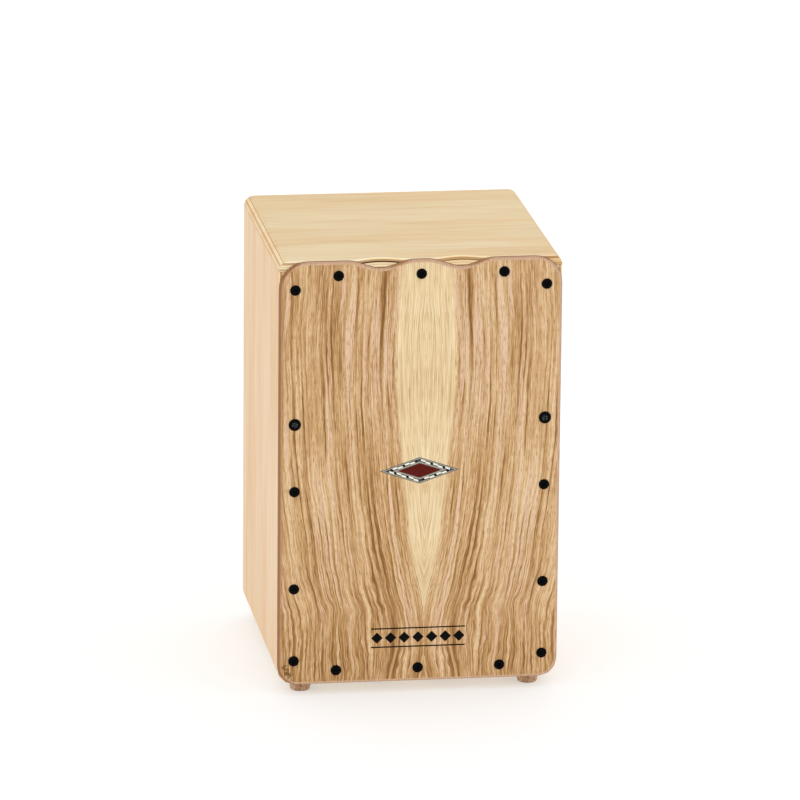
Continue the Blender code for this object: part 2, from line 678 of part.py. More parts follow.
def make_tuners():
    """On each side a tuning screw, the slider it pulls down, and the pin that guides the slider."""
    screw = tuning_screw_mesh()
    pin = guide_pin_mesh()
    alloy = material("alloy_slider", (0.55, 0.56, 0.58), 0.38, 1.0)
    black = material("black_oxide", (0.05, 0.05, 0.055), 0.4, 0.9)
    for side, sign in (("left", -1), ("right", 1)):
        x = sign * TUNER_X
        pin_x = sign * (TUNER_X + PIN_OUT)
        place("tuning_screw_" + side, screw, black, (x, TUNER_Y, BRACKET_Z - GAP))
        place("guide_pin_" + side, pin, zinc_steel(), (pin_x, TUNER_Y, BRACKET_Z - GAP))
        low = (x - SLIDER_W / 2, PLATE_BACK_Y + 2 * GAP, SLIDER_Z)
        high = (x + SLIDER_W / 2, TUNER_Y + SLIDER_TAIL, SLIDER_Z + SLIDER_T)
        slider = box("string_slider_" + side, low, high, alloy)
        middle = SLIDER_Z + SLIDER_T / 2
        name = "slider_%s" % side
        screw_at = [Vector((x, TUNER_Y, middle))]
        pin_at = [Vector((pin_x, TUNER_Y, middle))]
        bore = holes_cutter(name + "_bore", screw_at, TUNER_R + GAP, SLIDER_T + EPS, sides=16)
        guide = holes_cutter(name + "_guide", pin_at, PIN_R + GAP, SLIDER_T + EPS)
        xs = [sign * string_x for string_x in STRING_X]
        for tool in [bore, guide] + string_slots(name, xs, SLIDER_Z - EPS, SLIDER_Z + SLIDER_T + EPS):
            cut(slider, tool)


def make_strings():
    """Each snare string: a wire with a ball under its slider and a ball on the anchor's shelf."""
    low = SLIDER_Z - GAP
    high = SHELF_Z + GAP
    profile = [(BALL_R * r, high + BALL_R * h) for r, h in reversed(BALL_HALF)]
    profile += [(STRING_R, high), (STRING_R, low)]
    profile += [(BALL_R * r, low - BALL_R * h) for r, h in BALL_HALF]
    string = turned_mesh("snare_string", profile, STRING_STEPS)
    steel = material("string_steel", (0.70, 0.69, 0.66), 0.28, 1.0)
    for i, x in enumerate(string_xs()):
        place("snare_string_%d" % (i + 1), string, steel, (x, STRING_Y, 0))


clear_scene()
PARTS = collection("cajon")
CUTTERS = collection("cajon_cutters")
make_box()
make_battens()
make_front_plate()
make_inlay()
make_front_screws()
make_feet()
make_anchor()
make_bracket()
make_tuners()
make_strings()
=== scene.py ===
"""Looks of the cajon: figured ash front plate, birch plywood body, marquetry diamond, black screws,
gum-rubber feet and, inside, the snare strings with their tuner. Metres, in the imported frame.
"""
import json
import math

import bmesh
import bpy
from mathutils import Matrix, Vector

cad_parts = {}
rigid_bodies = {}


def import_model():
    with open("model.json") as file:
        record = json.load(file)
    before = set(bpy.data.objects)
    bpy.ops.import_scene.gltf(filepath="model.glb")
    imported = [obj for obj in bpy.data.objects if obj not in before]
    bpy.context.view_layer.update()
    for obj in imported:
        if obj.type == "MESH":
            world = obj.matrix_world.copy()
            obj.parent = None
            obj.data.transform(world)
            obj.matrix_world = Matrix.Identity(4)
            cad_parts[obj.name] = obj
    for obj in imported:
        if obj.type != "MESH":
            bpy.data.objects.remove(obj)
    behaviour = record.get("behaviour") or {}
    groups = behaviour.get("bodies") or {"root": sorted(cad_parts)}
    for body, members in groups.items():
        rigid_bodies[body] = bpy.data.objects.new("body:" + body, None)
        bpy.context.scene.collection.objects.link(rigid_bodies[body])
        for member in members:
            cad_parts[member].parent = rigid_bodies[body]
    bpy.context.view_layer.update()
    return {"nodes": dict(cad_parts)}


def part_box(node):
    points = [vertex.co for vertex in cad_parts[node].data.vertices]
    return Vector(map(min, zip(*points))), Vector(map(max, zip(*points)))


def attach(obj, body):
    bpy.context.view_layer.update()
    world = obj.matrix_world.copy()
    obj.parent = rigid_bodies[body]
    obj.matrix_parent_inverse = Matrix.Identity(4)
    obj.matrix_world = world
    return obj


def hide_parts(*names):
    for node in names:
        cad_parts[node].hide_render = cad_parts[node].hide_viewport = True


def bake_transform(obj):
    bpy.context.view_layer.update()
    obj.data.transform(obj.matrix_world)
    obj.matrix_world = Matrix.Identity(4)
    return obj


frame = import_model()

MM = 0.001
PLATE_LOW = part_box("front_plate")[0]
TOP_LOW, TOP_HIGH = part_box("top_panel")
BOTTOM_LOW, BOTTOM_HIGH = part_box("bottom_panel")
LEFT_LOW, LEFT_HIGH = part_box("left_panel")
RIGHT_LOW, RIGHT_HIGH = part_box("right_panel")
BACK_LOW, BACK_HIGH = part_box("back_panel")
FACE_Y = PLATE_LOW.y                # front face of the front plate
BASE_Z = PLATE_LOW.z
ALONG_Y = Matrix.Rotation(math.pi / 2, 4, "X")


def center(node):
    low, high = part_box(node)
    return (low + high) / 2


# ------------------------ colours and shader nodes
def srgb(red, green, blue):
    """A display colour, 0 to 255, as the linear values that shaders take."""
    linear = []
    for value in (red, green, blue):
        value /= 255
        linear.append(value / 12.92 if value <= 0.04045 else ((value + 0.055) / 1.055) ** 2.4)
    return (*linear, 1.0)


class Graph:
    """A material being built. Each method adds a node and returns its output socket."""

    def __init__(self, name, **constants):
        self.material = bpy.data.materials.new(name)
        self.material.use_nodes = True
        self.tree = self.material.node_tree
        self.shader = self.tree.nodes["Principled BSDF"]
        for key, value in constants.items():
            self.shader.inputs[key.replace("_", " ")].default_value = value

    def feed(self, socket, value):
        if isinstance(value, bpy.types.NodeSocket):
            self.tree.links.new(value, socket)
        else:
            socket.default_value = value

    def surface(self, **sockets):
        for key, value in sockets.items():
            self.feed(self.shader.inputs[key.replace("_", " ")], value)

    def node(self, kind, inputs, output=0, **settings):
        node = self.tree.nodes.new("ShaderNode" + kind)
        for key, value in settings.items():
            setattr(node, key, value)
        for key, value in inputs.items():
            self.feed(node.inputs[key], value)
        return node.outputs[output]

    def math(self, operation, *values):
        return self.node("Math", dict(enumerate(values)), operation=operation)

    def add(self, a, b):
        return self.math("ADD", a, b)

    def times(self, a, b):
        return self.math("MULTIPLY", a, b)

    def around_zero(self, noise, amount):
        """Noise of 0 to 1 as a value within amount / 2 of zero."""
        return self.math("MULTIPLY_ADD", noise, amount, -amount / 2)

    def split(self, vector):
        node = self.tree.nodes.new("ShaderNodeSeparateXYZ")
        self.tree.links.new(vector, node.inputs[0])
        return node.outputs[0], node.outputs[1], node.outputs[2]

    def place(self):
        """Object coordinates in millimetres, as three sockets."""
        vector = self.node("TexCoord", {}, output="Object")
        return self.split(self.node("VectorMath", {0: vector, "Scale": 1 / MM}, operation="SCALE"))

    def normal(self):
        return self.split(self.node("TexCoord", {}, output="Normal"))

    def vector(self, x=0.0, y=0.0, z=0.0):
        return self.node("CombineXYZ", {0: x, 1: y, 2: z})

    def stretched(self, place, lengths, offset=0.0):
        """The place divided by a feature length along each axis, in millimetres."""
        parts = [self.math("MULTIPLY_ADD", axis, 1 / length, offset)
                 for axis, length in zip(place, lengths)]
        return self.vector(*parts)

    def noise(self, vector, detail=2.0, roughness=0.5, distortion=0.0):
        inputs = {"Vector": vector, "Scale": 1.0, "Detail": detail, "Roughness": roughness,
                  "Distortion": distortion}
        return self.node("TexNoise", inputs)

    def step(self, value, low, high):
        """0 below low, 1 above high, smooth between."""
        inputs = {"Value": value, "From Min": low, "From Max": high}
        return self.node("MapRange", inputs, interpolation_type="SMOOTHSTEP")

    def mix(self, factor, a, b, blend="MIX"):
        inputs = {0: factor, 6: a, 7: b}
        return self.node("Mix", inputs, output=2, data_type="RGBA", blend_type=blend)

    def ramp(self, factor, stops):
        node = self.tree.nodes.new("ShaderNodeValToRGB")
        elements = node.color_ramp.elements
        while len(elements) < len(stops):
            elements.new(1.0)
        for element, (position, color) in zip(elements, stops):
            element.position = position
            element.color = color
        self.feed(node.inputs[0], factor)
        return node.outputs[0]

    def bump(self, height, depth):
        """A bump normal for a height of 0 to 1 that stands depth metres tall."""
        return self.node("Bump", {"Height": height, "Strength": 1.0, "Distance": depth})


# ------------------------ wood
FACE_CREAM = srgb(230, 207, 169)
# painted shade: the top and bottom panels' face colour is a little darker than the side panels', to
# even out the stronger light on the top
LEVEL_FACE_PAINTED_SHADE = srgb(226, 206, 166)
SIDE_FACE = srgb(235, 209, 175)
PLY_LIGHT = srgb(244, 222, 182)
PLY_CREAM = srgb(244, 228, 192)
PLY_TAN = srgb(196, 156, 108)
PLY_SOFT_TAN = srgb(214, 180, 134)
GLUE_LINE = srgb(84, 52, 30)
SOFT_GLUE = srgb(180, 140, 98)
# painted highlight: a bright cream along the panels' rounded front and rear edges
EDGE_PAINTED_HIGHLIGHT = srgb(252, 241, 208)
GAP_BROWN = srgb(52, 30, 18)
GAP_DEPTH = 3.05            # depth of the core voids below the outer face, mm
# plies from the outer face inwards: thickness in mm of a 9 mm board, and colour
END_PLIES = ((1.2, FACE_CREAM), (0.3, SOFT_GLUE), (1.8, PLY_LIGHT), (1.9, PLY_SOFT_TAN),
             (1.8, PLY_LIGHT), (0.3, SOFT_GLUE), (1.7, FACE_CREAM))
FRONT_PLIES = ((0.75, PLY_CREAM), (1.55, PLY_TAN), (0.55, PLY_SOFT_TAN), (0.3, GLUE_LINE),
               (1.75, PLY_LIGHT), (0.25, SOFT_GLUE), (1.5, PLY_CREAM), (0.25, SOFT_GLUE),
               (1.2, PLY_SOFT_TAN), (0.9, FACE_CREAM))
PLY_TOTAL = 9.0
PLY_BLEND = 0.06            # how softly one ply passes into the next, mm


def ply_stops(plies):
    stops = []
    depth = 0.0
    for thickness, color in plies:
        stops.append((max(depth + PLY_BLEND, 0.0) / PLY_TOTAL, color))
        depth += thickness
        stops.append((min(depth - PLY_BLEND, PLY_TOTAL) / PLY_TOTAL, color))
    return stops


def plywood(name, axis, outer, inner, grain, face, gaps=()):
    """Lacquered birch plywood, solid: its plies lie by depth from the outer face towards the inner
    one, along one axis; the face veneers' grain runs along the grain axis. Gaps are dark core voids
    that show in its front edge, each as (middle x, half length, darkness), in mm."""
    g = Graph(name, Specular_IOR_Level=0.12)
    place = g.place()
    facing = g.normal()
    thickness = abs(inner - outer) / MM
    scale = PLY_TOTAL / thickness * (1 if inner > outer else -1)
    depth = g.math("MULTIPLY_ADD", place[axis], scale, -outer / MM * scale)
    waver = g.noise(g.stretched(place, (30, 30, 30)), detail=1)
    depth = g.add(depth, g.around_zero(waver, 0.25))
    share = g.math("DIVIDE", depth, PLY_TOTAL)
    end = g.ramp(share, ply_stops(END_PLIES))
    front = g.ramp(share, ply_stops(FRONT_PLIES))
    faces_front = g.step(g.math("ABSOLUTE", facing[1]), 0.2, 0.4)
    plies = g.mix(faces_front, end, front)
    inside = g.step(depth, 0.5, 0.9)
    outside = g.step(depth, PLY_TOTAL - 0.9, PLY_TOTAL - 0.5)
    on_edge = g.times(inside, g.math("SUBTRACT", 1.0, outside))
    color = g.mix(on_edge, face, plies)
    # painted highlight: the rounded front and rear edges of the top, bottom and side panels are
    # painted bright cream
    if axis != 1:
        rounded = g.times(faces_front, g.step(depth, 1.5, 0.9))
        color = g.mix(rounded, color, EDGE_PAINTED_HIGHLIGHT)
    for middle, half_length, darkness in gaps:
        along = g.math("ABSOLUTE", g.add(place[0], -middle))
        deep = g.math("ABSOLUTE", g.add(depth, -GAP_DEPTH))
        void = g.times(g.step(along, half_length, half_length * 0.6), g.step(deep, 0.75, 0.35))
        void = g.times(void, g.step(place[1], 20.0, -20.0))
        color = g.mix(g.times(void, darkness), color, GAP_BROWN)

    def grained(width, length, detail, roughness=0.5, distortion=0.0):
        lengths = [width, width, width]
        lengths[grain] = length
        return g.noise(g.stretched(place, lengths), detail, roughness, distortion)

    broad = grained(24, 170, 2, distortion=0.4)
    medium = grained(4.5, 120, 3)
    fine = grained(0.8, 45, 3, 0.6)
    fleck = g.step(grained(0.3, 5, 1), 0.63, 0.72)
    shade = g.add(g.around_zero(broad, 0.30), g.around_zero(medium, 0.34))
    shade = g.add(shade, g.around_zero(fine, 0.40))
    darker = g.mix(1.0, color, srgb(236, 219, 196), blend="MULTIPLY")
    color = g.mix(g.step(shade, -0.16, 0.26), color, darker)
    color = g.mix(g.times(fleck, 0.35), color, darker)
    rosy = g.mix(1.0, color, srgb(252, 243, 232), blend="MULTIPLY")
    color = g.mix(g.step(grained(38, 230, 1), 0.40, 0.60), color, rosy)
    g.surface(Base_Color=color, Normal=g.bump(fine, 0.00002),
              Roughness=g.math("MULTIPLY_ADD", fine, 0.16, 0.42))
    return g.material


HEART_X = 5.0               # joint of the book-matched front veneer, mm; its pale heart is there
HEART_HALF = 29.5           # half its width where it is widest
HEART_PINCH = 5.0           # it is this much narrower again at the top edge
HEART_TIP = 68.0            # height of its lower tip above the plate's bottom edge
HEART_GROWTH = 105.0        # over this height it widens
RING = 5.4                  # usual distance between the dark growth lines, mm
PLATE_T = 4.0               # thickness of the front plate, mm
VENEER = 0.06               # depth below the face where the plate's rim shows its core, mm
# the plate's core plies on its rounded rim, by depth below the face as a share of PLATE_T
CORE_TOP = ((0.05, srgb(214, 178, 148)), (0.20, srgb(208, 170, 140)), (0.25, srgb(174, 134, 102)),
            (0.30, srgb(214, 178, 148)), (0.47, srgb(202, 162, 130)), (0.54, srgb(132, 92, 62)),
            (0.95, srgb(104, 70, 46)))
# painted shade: the rim where it faces left shows the same plies, coloured darker
CORE_LEFT_PAINTED_SHADE = ((0.03, srgb(178, 134, 90)), (0.16, srgb(164, 118, 78)), (0.24, srgb(138, 94, 60)),
             (0.34, srgb(164, 118, 80)), (0.62, srgb(152, 106, 72)), (0.74, srgb(116, 76, 50)),
             (0.86, srgb(146, 102, 70)))
LEFT_EDGE_SHADE_WIDTH = 3.6              # painted shade: the plate is painted browner this far in from its left edge, mm
LEFT_EDGE_SHADE_BROWN = srgb(172, 128, 82)


def veneer_growth(g, x, y, height, low_down):
    """How far a point is beyond the heart's edge, in mm, and the same rippled: the growth lines
    follow the second."""
    away = g.math("ABSOLUTE", g.add(x, -HEART_X))
    sway = g.noise(g.stretched((away, y, height), (42, 42, 60)), detail=1)
    ripple = g.noise(g.stretched((away, y, height), (10, 10, 17)), detail=2)
    sway_mm = g.times(g.around_zero(sway, 1.0), g.math("MULTIPLY_ADD", low_down, 11.0, 4.0))
    ripple_mm = g.times(g.around_zero(ripple, 1.0), g.math("MULTIPLY_ADD", low_down, 4.0, 1.0))
    rise = g.math("MAXIMUM", g.add(height, -HEART_TIP), 0.0)
    decay = g.math("EXPONENT", g.times(rise, -1 / HEART_GROWTH))
    half = g.math("MULTIPLY_ADD", decay, -HEART_HALF, HEART_HALF)
    half = g.math("MULTIPLY_ADD", g.step(height, 290.0, 385.0), -HEART_PINCH, half)
    beyond = g.add(g.math("SUBTRACT", away, half), sway_mm)
    return beyond, g.add(beyond, ripple_mm)


def growth_rings(g, growth, height, spacing):
    """Dark growth lines, sharp on one side and fading on the other, each of its own strength."""
    rings = g.add(g.times(growth, 1 / RING), g.times(spacing, 3.2))
    phase = g.math("FRACT", rings)
    number = g.math("FLOOR", rings)
    sharp = g.step(phase, 0.0, 0.12)
    fade = g.math("POWER", g.math("SUBTRACT", 1.0, phase), 2.4)
    strength = g.noise(g.vector(g.times(number, 3.7), 0.0, g.times(height, 1 / 90)), detail=1)
    return g.times(g.times(sharp, fade), g.step(strength, 0.32, 0.66))


def veneer_tone(g, x, ring, layers, low_down):
    """Darkness of the streaked veneer: least at the upper right, most at the lower left."""
    tone = g.times(ring, 0.62)
    for layer, amount in layers:
        tone = g.add(tone, g.around_zero(layer, amount))
    tone = g.add(tone, g.math("MULTIPLY_ADD", low_down, 0.09, 0.39))
    on_right = g.step(x, HEART_X - 3.0, HEART_X + 3.0)
    paler = g.times(on_right, g.math("SUBTRACT", 1.0, low_down))
    darker = g.times(g.math("SUBTRACT", 1.0, on_right), low_down)
    tone = g.math("MULTIPLY_ADD", paler, -0.07, tone)
    return g.math("MULTIPLY_ADD", darker, 0.06, tone)


def plate_rim(g, y, color, fine, hair):
    """The colour, but with the core plies on the rounded rim and plain wood on the plate's back."""
    depth = g.add(y, -FACE_Y / MM)
    depth = g.add(depth, g.around_zero(fine, 0.05))
    share = g.times(depth, 1 / PLATE_T)
    facing = g.normal()
    # painted shade: where the rim faces left, its plies take darker colours
    core = g.mix(g.step(facing[0], -0.03, -0.35), g.ramp(share, CORE_TOP), g.ramp(share, CORE_LEFT_PAINTED_SHADE))
    core = g.mix(g.times(g.step(hair, 0.40, 0.62), 0.4), core, srgb(136, 94, 62))
    color = g.mix(g.step(depth, VENEER - 0.03, VENEER + 0.05), color, core)
    grain = g.step(g.add(g.times(fine, 0.6), g.times(hair, 0.4)), 0.35, 0.65)
    back = g.mix(grain, srgb(216, 186, 150), srgb(192, 154, 116))
    return g.mix(g.step(facing[1], 0.5, 0.9), color, back)


def figured_ash():
    """Book-matched ash veneer with a pale tapering heart, beside which the growth lines lean in."""
    g = Graph("figured_ash", Specular_IOR_Level=0.12)
    x, y, z = g.place()
    height = g.add(z, -BASE_Z / MM)
    low_down = g.step(height, 190.0, 20.0)
    beyond, growth = veneer_growth(g, x, y, height, low_down)

    def along(width, length, detail, offset, roughness=0.5):
        vector = g.vector(g.math("MULTIPLY_ADD", growth, 1 / width, offset), offset,
                          g.times(height, 1 / length))
        return g.noise(vector, detail=detail, roughness=roughness)

    ring = growth_rings(g, growth, height, along(15, 300, 1, 3.0))
    broad = along(12, 260, 2, 7.0)
    medium = along(2.6, 120, 2, 1.0)
    fine = along(0.95, 55, 2, 5.0, 0.6)
    hair = along(0.42, 11, 1, 15.0)
    pores = g.step(along(0.55, 7, 1, 9.0), 0.55, 0.66)
    layers = ((broad, 1.1), (medium, 1.4), (fine, 1.4), (hair, 1.1))
    tone = veneer_tone(g, x, ring, layers, low_down)
    streaks = g.ramp(tone, ((0.0, srgb(231, 202, 163)), (0.28, srgb(215, 179, 134)),
                            (0.52, srgb(196, 155, 106)), (0.76, srgb(164, 121, 72)),
                            (1.0, srgb(128, 88, 46))))
    pink = g.step(along(6, 190, 1, 12.0), 0.50, 0.64)
    pink = g.times(pink, g.step(tone, 0.60, 0.25))
    streaks = g.mix(g.times(pink, 0.75), streaks, srgb(224, 190, 162))
    streaks = g.mix(g.times(pores, 0.5), streaks, srgb(132, 93, 50))

    thread = along(0.38, 60, 2, 21.0)
    quiet = g.add(g.around_zero(fine, 1.1), g.around_zero(medium, 0.6))
    quiet = g.add(quiet, g.around_zero(thread, 3.2))
    heart = g.ramp(g.add(quiet, 0.42), ((0.0, srgb(241, 221, 182)), (0.42, srgb(230, 204, 161)),
                                        (0.72, srgb(213, 183, 135)), (1.0, srgb(190, 154, 104))))
    long_pores = g.step(along(0.5, 17, 1, 9.0), 0.55, 0.66)
    heart = g.mix(g.times(long_pores, 0.55), heart, srgb(184, 146, 94))
    edge = g.add(beyond, g.around_zero(medium, 3.4))
    edge = g.add(edge, g.around_zero(hair, 3.0))
    color = g.mix(g.step(edge, -0.8, 0.8), heart, streaks)
    color = knot(g, x, height, color)
    # painted shade: a brown band along the plate's left edge
    from_left = g.add(x, -PLATE_LOW.x / MM)
    tint_share = g.step(from_left, LEFT_EDGE_SHADE_WIDTH + 1.6, LEFT_EDGE_SHADE_WIDTH - 0.6)
    color = g.mix(g.times(tint_share, 0.6), color, LEFT_EDGE_SHADE_BROWN)
    color = plate_rim(g, y, color, fine, hair)
    relief = g.math("SUBTRACT", tone, g.times(pores, 0.5))
    g.surface(Base_Color=color, Normal=g.bump(relief, 0.00003),
              Roughness=g.math("MULTIPLY_ADD", pores, 0.15, 0.42))
    return g.material


KNOT_AT = (-116.5, 13.0)    # a small brown knot in the plate's lower left corner, mm


def knot(g, x, height, color):
    """Stain the colour with a small ragged knot that leans to the left."""
    ragged = g.noise(g.vector(g.times(x, 1 / 3.0), 0.0, g.times(height, 1 / 3.0)), detail=2)
    dx = g.add(x, -KNOT_AT[0])
    dz = g.add(height, -KNOT_AT[1])
    across = g.add(g.times(dx, 0.84), g.times(dz, 0.54))
    length = g.math("SUBTRACT", g.times(dz, 0.84), g.times(dx, 0.54))
    across = g.add(across, g.around_zero(ragged, 13.0))
    stain = g.times(g.step(g.math("ABSOLUTE", across), 2.5, 1.1),
                    g.step(g.math("ABSOLUTE", length), 7.0, 5.5))
    return g.mix(g.times(stain, 0.8), color, srgb(104, 68, 32))


PITH = (37.0, 61.0)         # the battens' growth rings are centred far off them, mm


def pine(name, grain):
    """Planed softwood: growth rings about a pith outside the stick, streaked along its grain axis."""
    g = Graph(name, Roughness=0.6, Specular_IOR_Level=0.2)
    place = g.place()
    across = [axis for axis in (0, 1, 2) if axis != grain]
    lengths = [40.0, 40.0, 40.0]
    lengths[grain] = 240.0
    waver = g.noise(g.stretched(place, lengths), detail=2)
    near = g.add(place[across[0]], -PITH[0])
    far = g.add(place[across[1]], -PITH[1])
    radius = g.math("SQRT", g.add(g.times(near, near), g.times(far, far)))
    radius = g.add(radius, g.around_zero(waver, 16.0))
    phase = g.math("FRACT", g.times(radius, 1 / 2.3))
    late = g.math("POWER", phase, 2.5)
    lengths = [0.6, 0.6, 0.6]
    lengths[grain] = 20.0
    fine = g.noise(g.stretched(place, lengths), detail=3)
    color = g.mix(g.times(late, 0.65), srgb(228, 196, 148), srgb(188, 142, 90))
    color = g.mix(g.times(fine, 0.35), color, srgb(206, 168, 116))
    g.surface(Base_Color=color, Normal=g.bump(fine, 0.00003))
    return g.material


def padauk():
    g = Graph("padauk", Roughness=0.42, Specular_IOR_Level=0.06)
    place = g.place()
    streak = g.noise(g.stretched(place, (5, 1, 0.9)), detail=3)
    pores = g.step(g.noise(g.stretched(place, (1.6, 0.3, 0.22)), detail=1), 0.6, 0.7)
    color = g.mix(streak, srgb(72, 18, 12), srgb(104, 32, 21))
    color = g.mix(g.times(pores, 0.6), color, srgb(52, 14, 10))
    g.surface(Base_Color=color, Normal=g.bump(pores, 0.00002))
    return g.material


def dyed_veneer(name, dark, light, roughness=0.45):
    """Thin marquetry wood dyed one colour, with fine lengthwise grain."""
    g = Graph(name, Roughness=roughness, Specular_IOR_Level=0.05)
    fine = g.noise(g.stretched(g.place(), (2.4, 1, 0.4)), detail=3)
    g.surface(Base_Color=g.mix(fine, dark, light), Normal=g.bump(fine, 0.00001))
    return g.material


# ------------------------ metal, rubber
def metal(name, dark, light, roughness, brushed=(1.0, 1.0, 1.0), metallic=1.0):
    """Metal with a faint lay of fine marks; brushed gives their length along each axis, in mm."""
    g = Graph(name, Metallic=metallic)
    place = g.place()
    marks = g.noise(g.stretched(place, brushed), detail=4, roughness=0.6)
    cloud = g.noise(g.stretched(place, (7, 7, 7)), detail=2)
    rough = g.math("MULTIPLY_ADD", marks, 0.16, roughness - 0.08)
    rough = g.add(rough, g.around_zero(cloud, 0.08))
    g.surface(Base_Color=g.mix(cloud, dark, light), Roughness=rough, Normal=g.bump(marks, 0.000005))
    return g.material


def gum_rubber():
    """Amber gum rubber, paler where it is thin, with painted shade as darker bands near its top and
    its lower end.
    """
    g = Graph("gum_rubber", Roughness=0.22, Specular_IOR_Level=0.4, Coat_Weight=0.35,
              Coat_Roughness=0.1)
    place = g.place()
    cloud = g.noise(g.stretched(place, (4, 4, 3)), detail=3, distortion=1.2)
    color = g.ramp(cloud, ((0.30, srgb(132, 92, 60)), (0.46, srgb(164, 124, 88)),
                           (0.60, srgb(186, 148, 112)), (0.72, srgb(208, 176, 142))))
    # painted shade: darker bands near the foot's top, under the box, and near its lower end by the
    # floor
    painted_shade_top = g.times(g.step(place[2], 7.2, 8.0), 0.75)
    painted_shade_low = g.times(g.step(place[2], 1.3, 0.5), 0.6)
    color = g.mix(painted_shade_top, color, srgb(92, 62, 38))
    color = g.mix(painted_shade_low, color, srgb(104, 72, 46))
    g.surface(Base_Color=color, Normal=g.bump(cloud, 0.00005))
    return g.material


# ------------------------ mesh helpers
def finish_mesh(bm, name, sharp=35):
    bmesh.ops.recalc_face_normals(bm, faces=bm.faces)
    mesh = bpy.data.meshes.new(name)
    bm.to_mesh(mesh)
    bm.free()
    mesh.shade_smooth()
    mesh.set_sharp_from_angle(angle=math.radians(sharp))
    return mesh


def piece(name, mesh, material, body="root", nodes=(), matrix=None):
    """A finished piece, in place, riding on its body."""
    obj = bpy.data.objects.new(name, mesh)
    bpy.context.scene.collection.objects.link(obj)
    if matrix is not None:
        obj.matrix_world = matrix
    if not mesh.materials:
        mesh.materials.append(material)
    if body:
        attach(obj, body)
    if nodes:
        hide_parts(*nodes)
    return obj


def even_shading(obj):
    """Large flat faces keep flat shading beside their small bevels."""
    mod = obj.modifiers.new("even_shading", "WEIGHTED_NORMAL")
    mod.keep_sharp = True


def cad_copy(node):
    """The CAD node's surface, welded into clean polygons."""
    bm = bmesh.new()
    bm.from_mesh(frame["nodes"][node].data)
    bmesh.ops.remove_doubles(bm, verts=bm.verts, dist=0.000002)
    bmesh.ops.dissolve_limit(bm, angle_limit=math.radians(0.5), verts=bm.verts, edges=bm.edges)
    return bm


def ease(bm, width, angle, keep):
    """Round the edges sharper than angle, apart from those that keep picks out."""
    edges = [edge for edge in bm.edges
             if len(edge.link_faces) == 2 and edge.calc_face_angle(0) > math.radians(angle)
             and not (keep and keep(edge))]
    bmesh.ops.bevel(bm, geom=edges, offset=width, segments=2, profile=0.5, affect="EDGES",
                    clamp_overlap=True)


def reworked(node, name, material, width=0.0, angle=40, keep=None, body="root", sharp=35):
    """The CAD node's own shape with its edges eased by width, as a finished piece."""
    bm = cad_copy(node)
    if width:
        ease(bm, width, angle, keep)
    even_shading(piece(name, finish_mesh(bm, name, sharp), material, body, (node,)))


def turned(bm, profile, steps):
    """Add a solid of revolution about Z to bm; the profile (radius, z) runs down the outside."""
    rings = []
    for radius, z in profile:
        if radius <= 0:
            rings.append([bm.verts.new((0, 0, z))])
            continue
        rings.append([bm.verts.new((radius * math.cos(2 * math.pi * i / steps),
                                    radius * math.sin(2 * math.pi * i / steps), z))
                      for i in range(steps)])
    for upper, lower in zip(rings, rings[1:]):
        join_rings(bm, upper, lower)
    return rings


def join_rings(bm, upper, lower):
    count = max(len(upper), len(lower))
    for i in range(count):
        j = (i + 1) % count
        if len(upper) == 1:
            bm.faces.new((upper[0], lower[i], lower[j]))
        elif len(lower) == 1:
            bm.faces.new((upper[i], lower[0], upper[j]))
        else:
            bm.faces.new((upper[i], lower[i], lower[j], upper[j]))


def helical(bm, low, high, root, ridge, pitch, steps, rows):
    """Add a rod along Z with a helical ridge; root(z) and ridge(z) give its radius and the ridge."""
    rings = []
    for row in range(rows + 1):
        z = low + (high - low) * row / rows
        ring = []
        for i in range(steps):
            turn = i / steps
            phase = (z / pitch - turn) % 1.0
            radius = root(z) + ridge(z) * (1 - abs(2 * phase - 1))
            ring.append(bm.verts.new((radius * math.cos(2 * math.pi * turn),
                                      radius * math.sin(2 * math.pi * turn), z)))
        rings.append(ring)
    for lower, upper in zip(rings, rings[1:]):
        join_rings(bm, upper, lower)
    bm.faces.new(rings[0])
    bm.faces.new(rings[-1])


def arc(center_x, center_z, radius, start, end, steps):
    """Profile points of an arc, in degrees."""
    points = []
    for i in range(steps + 1):
        angle = math.radians(start + (end - start) * i / steps)
        points.append((center_x + radius * math.cos(angle), center_z + radius * math.sin(angle)))
    return points


def outline_plate(bm, loops, y0, y1):
    """Add a plate between two planes of constant y; the first loop is its outline in X and Z, and any
    others are holes with the same number of points as it, so that a frame is left."""
    for loop in loops:
        assert len(loop) == len(loops[0])
    fronts = [[bm.verts.new((x, y0, z)) for x, z in loop] for loop in loops]
    backs = [[bm.verts.new((x, y1, z)) for x, z in loop] for loop in loops]
    for front, back in zip(fronts, backs):
        join_rings(bm, front, back)
    if len(loops) == 1:
        bm.faces.new(fronts[0])
        bm.faces.new(backs[0])
    else:
        join_rings(bm, fronts[0], fronts[1])
        join_rings(bm, backs[0], backs[1])


def carved(mesh, tool):
    """The mesh with the tool's volume cut out of it."""
    scene = bpy.context.scene.collection.objects
    obj = bpy.data.objects.new("carved", mesh)
    cutter = bpy.data.objects.new("cutter", tool)
    scene.link(obj)
    scene.link(cutter)
    mod = obj.modifiers.new("cut", "BOOLEAN")
    mod.operation = "DIFFERENCE"
    mod.solver = "EXACT"
    mod.object = cutter
    graph = bpy.context.evaluated_depsgraph_get()
    result = bpy.data.meshes.new_from_object(obj.evaluated_get(graph))
    for used in (obj, cutter):
        bpy.data.objects.remove(used, do_unlink=True)
    return result


# ------------------------ panels and battens
def at_joint(*planes):
    """Picks out edges that lie in a glued joint: planes are (axis, coordinate)."""
    def lies(edge):
        for axis, coordinate in planes:
            if all(abs(vert.co[axis] - coordinate) < 0.00002 for vert in edge.verts):
                return True
        return False
    return lies


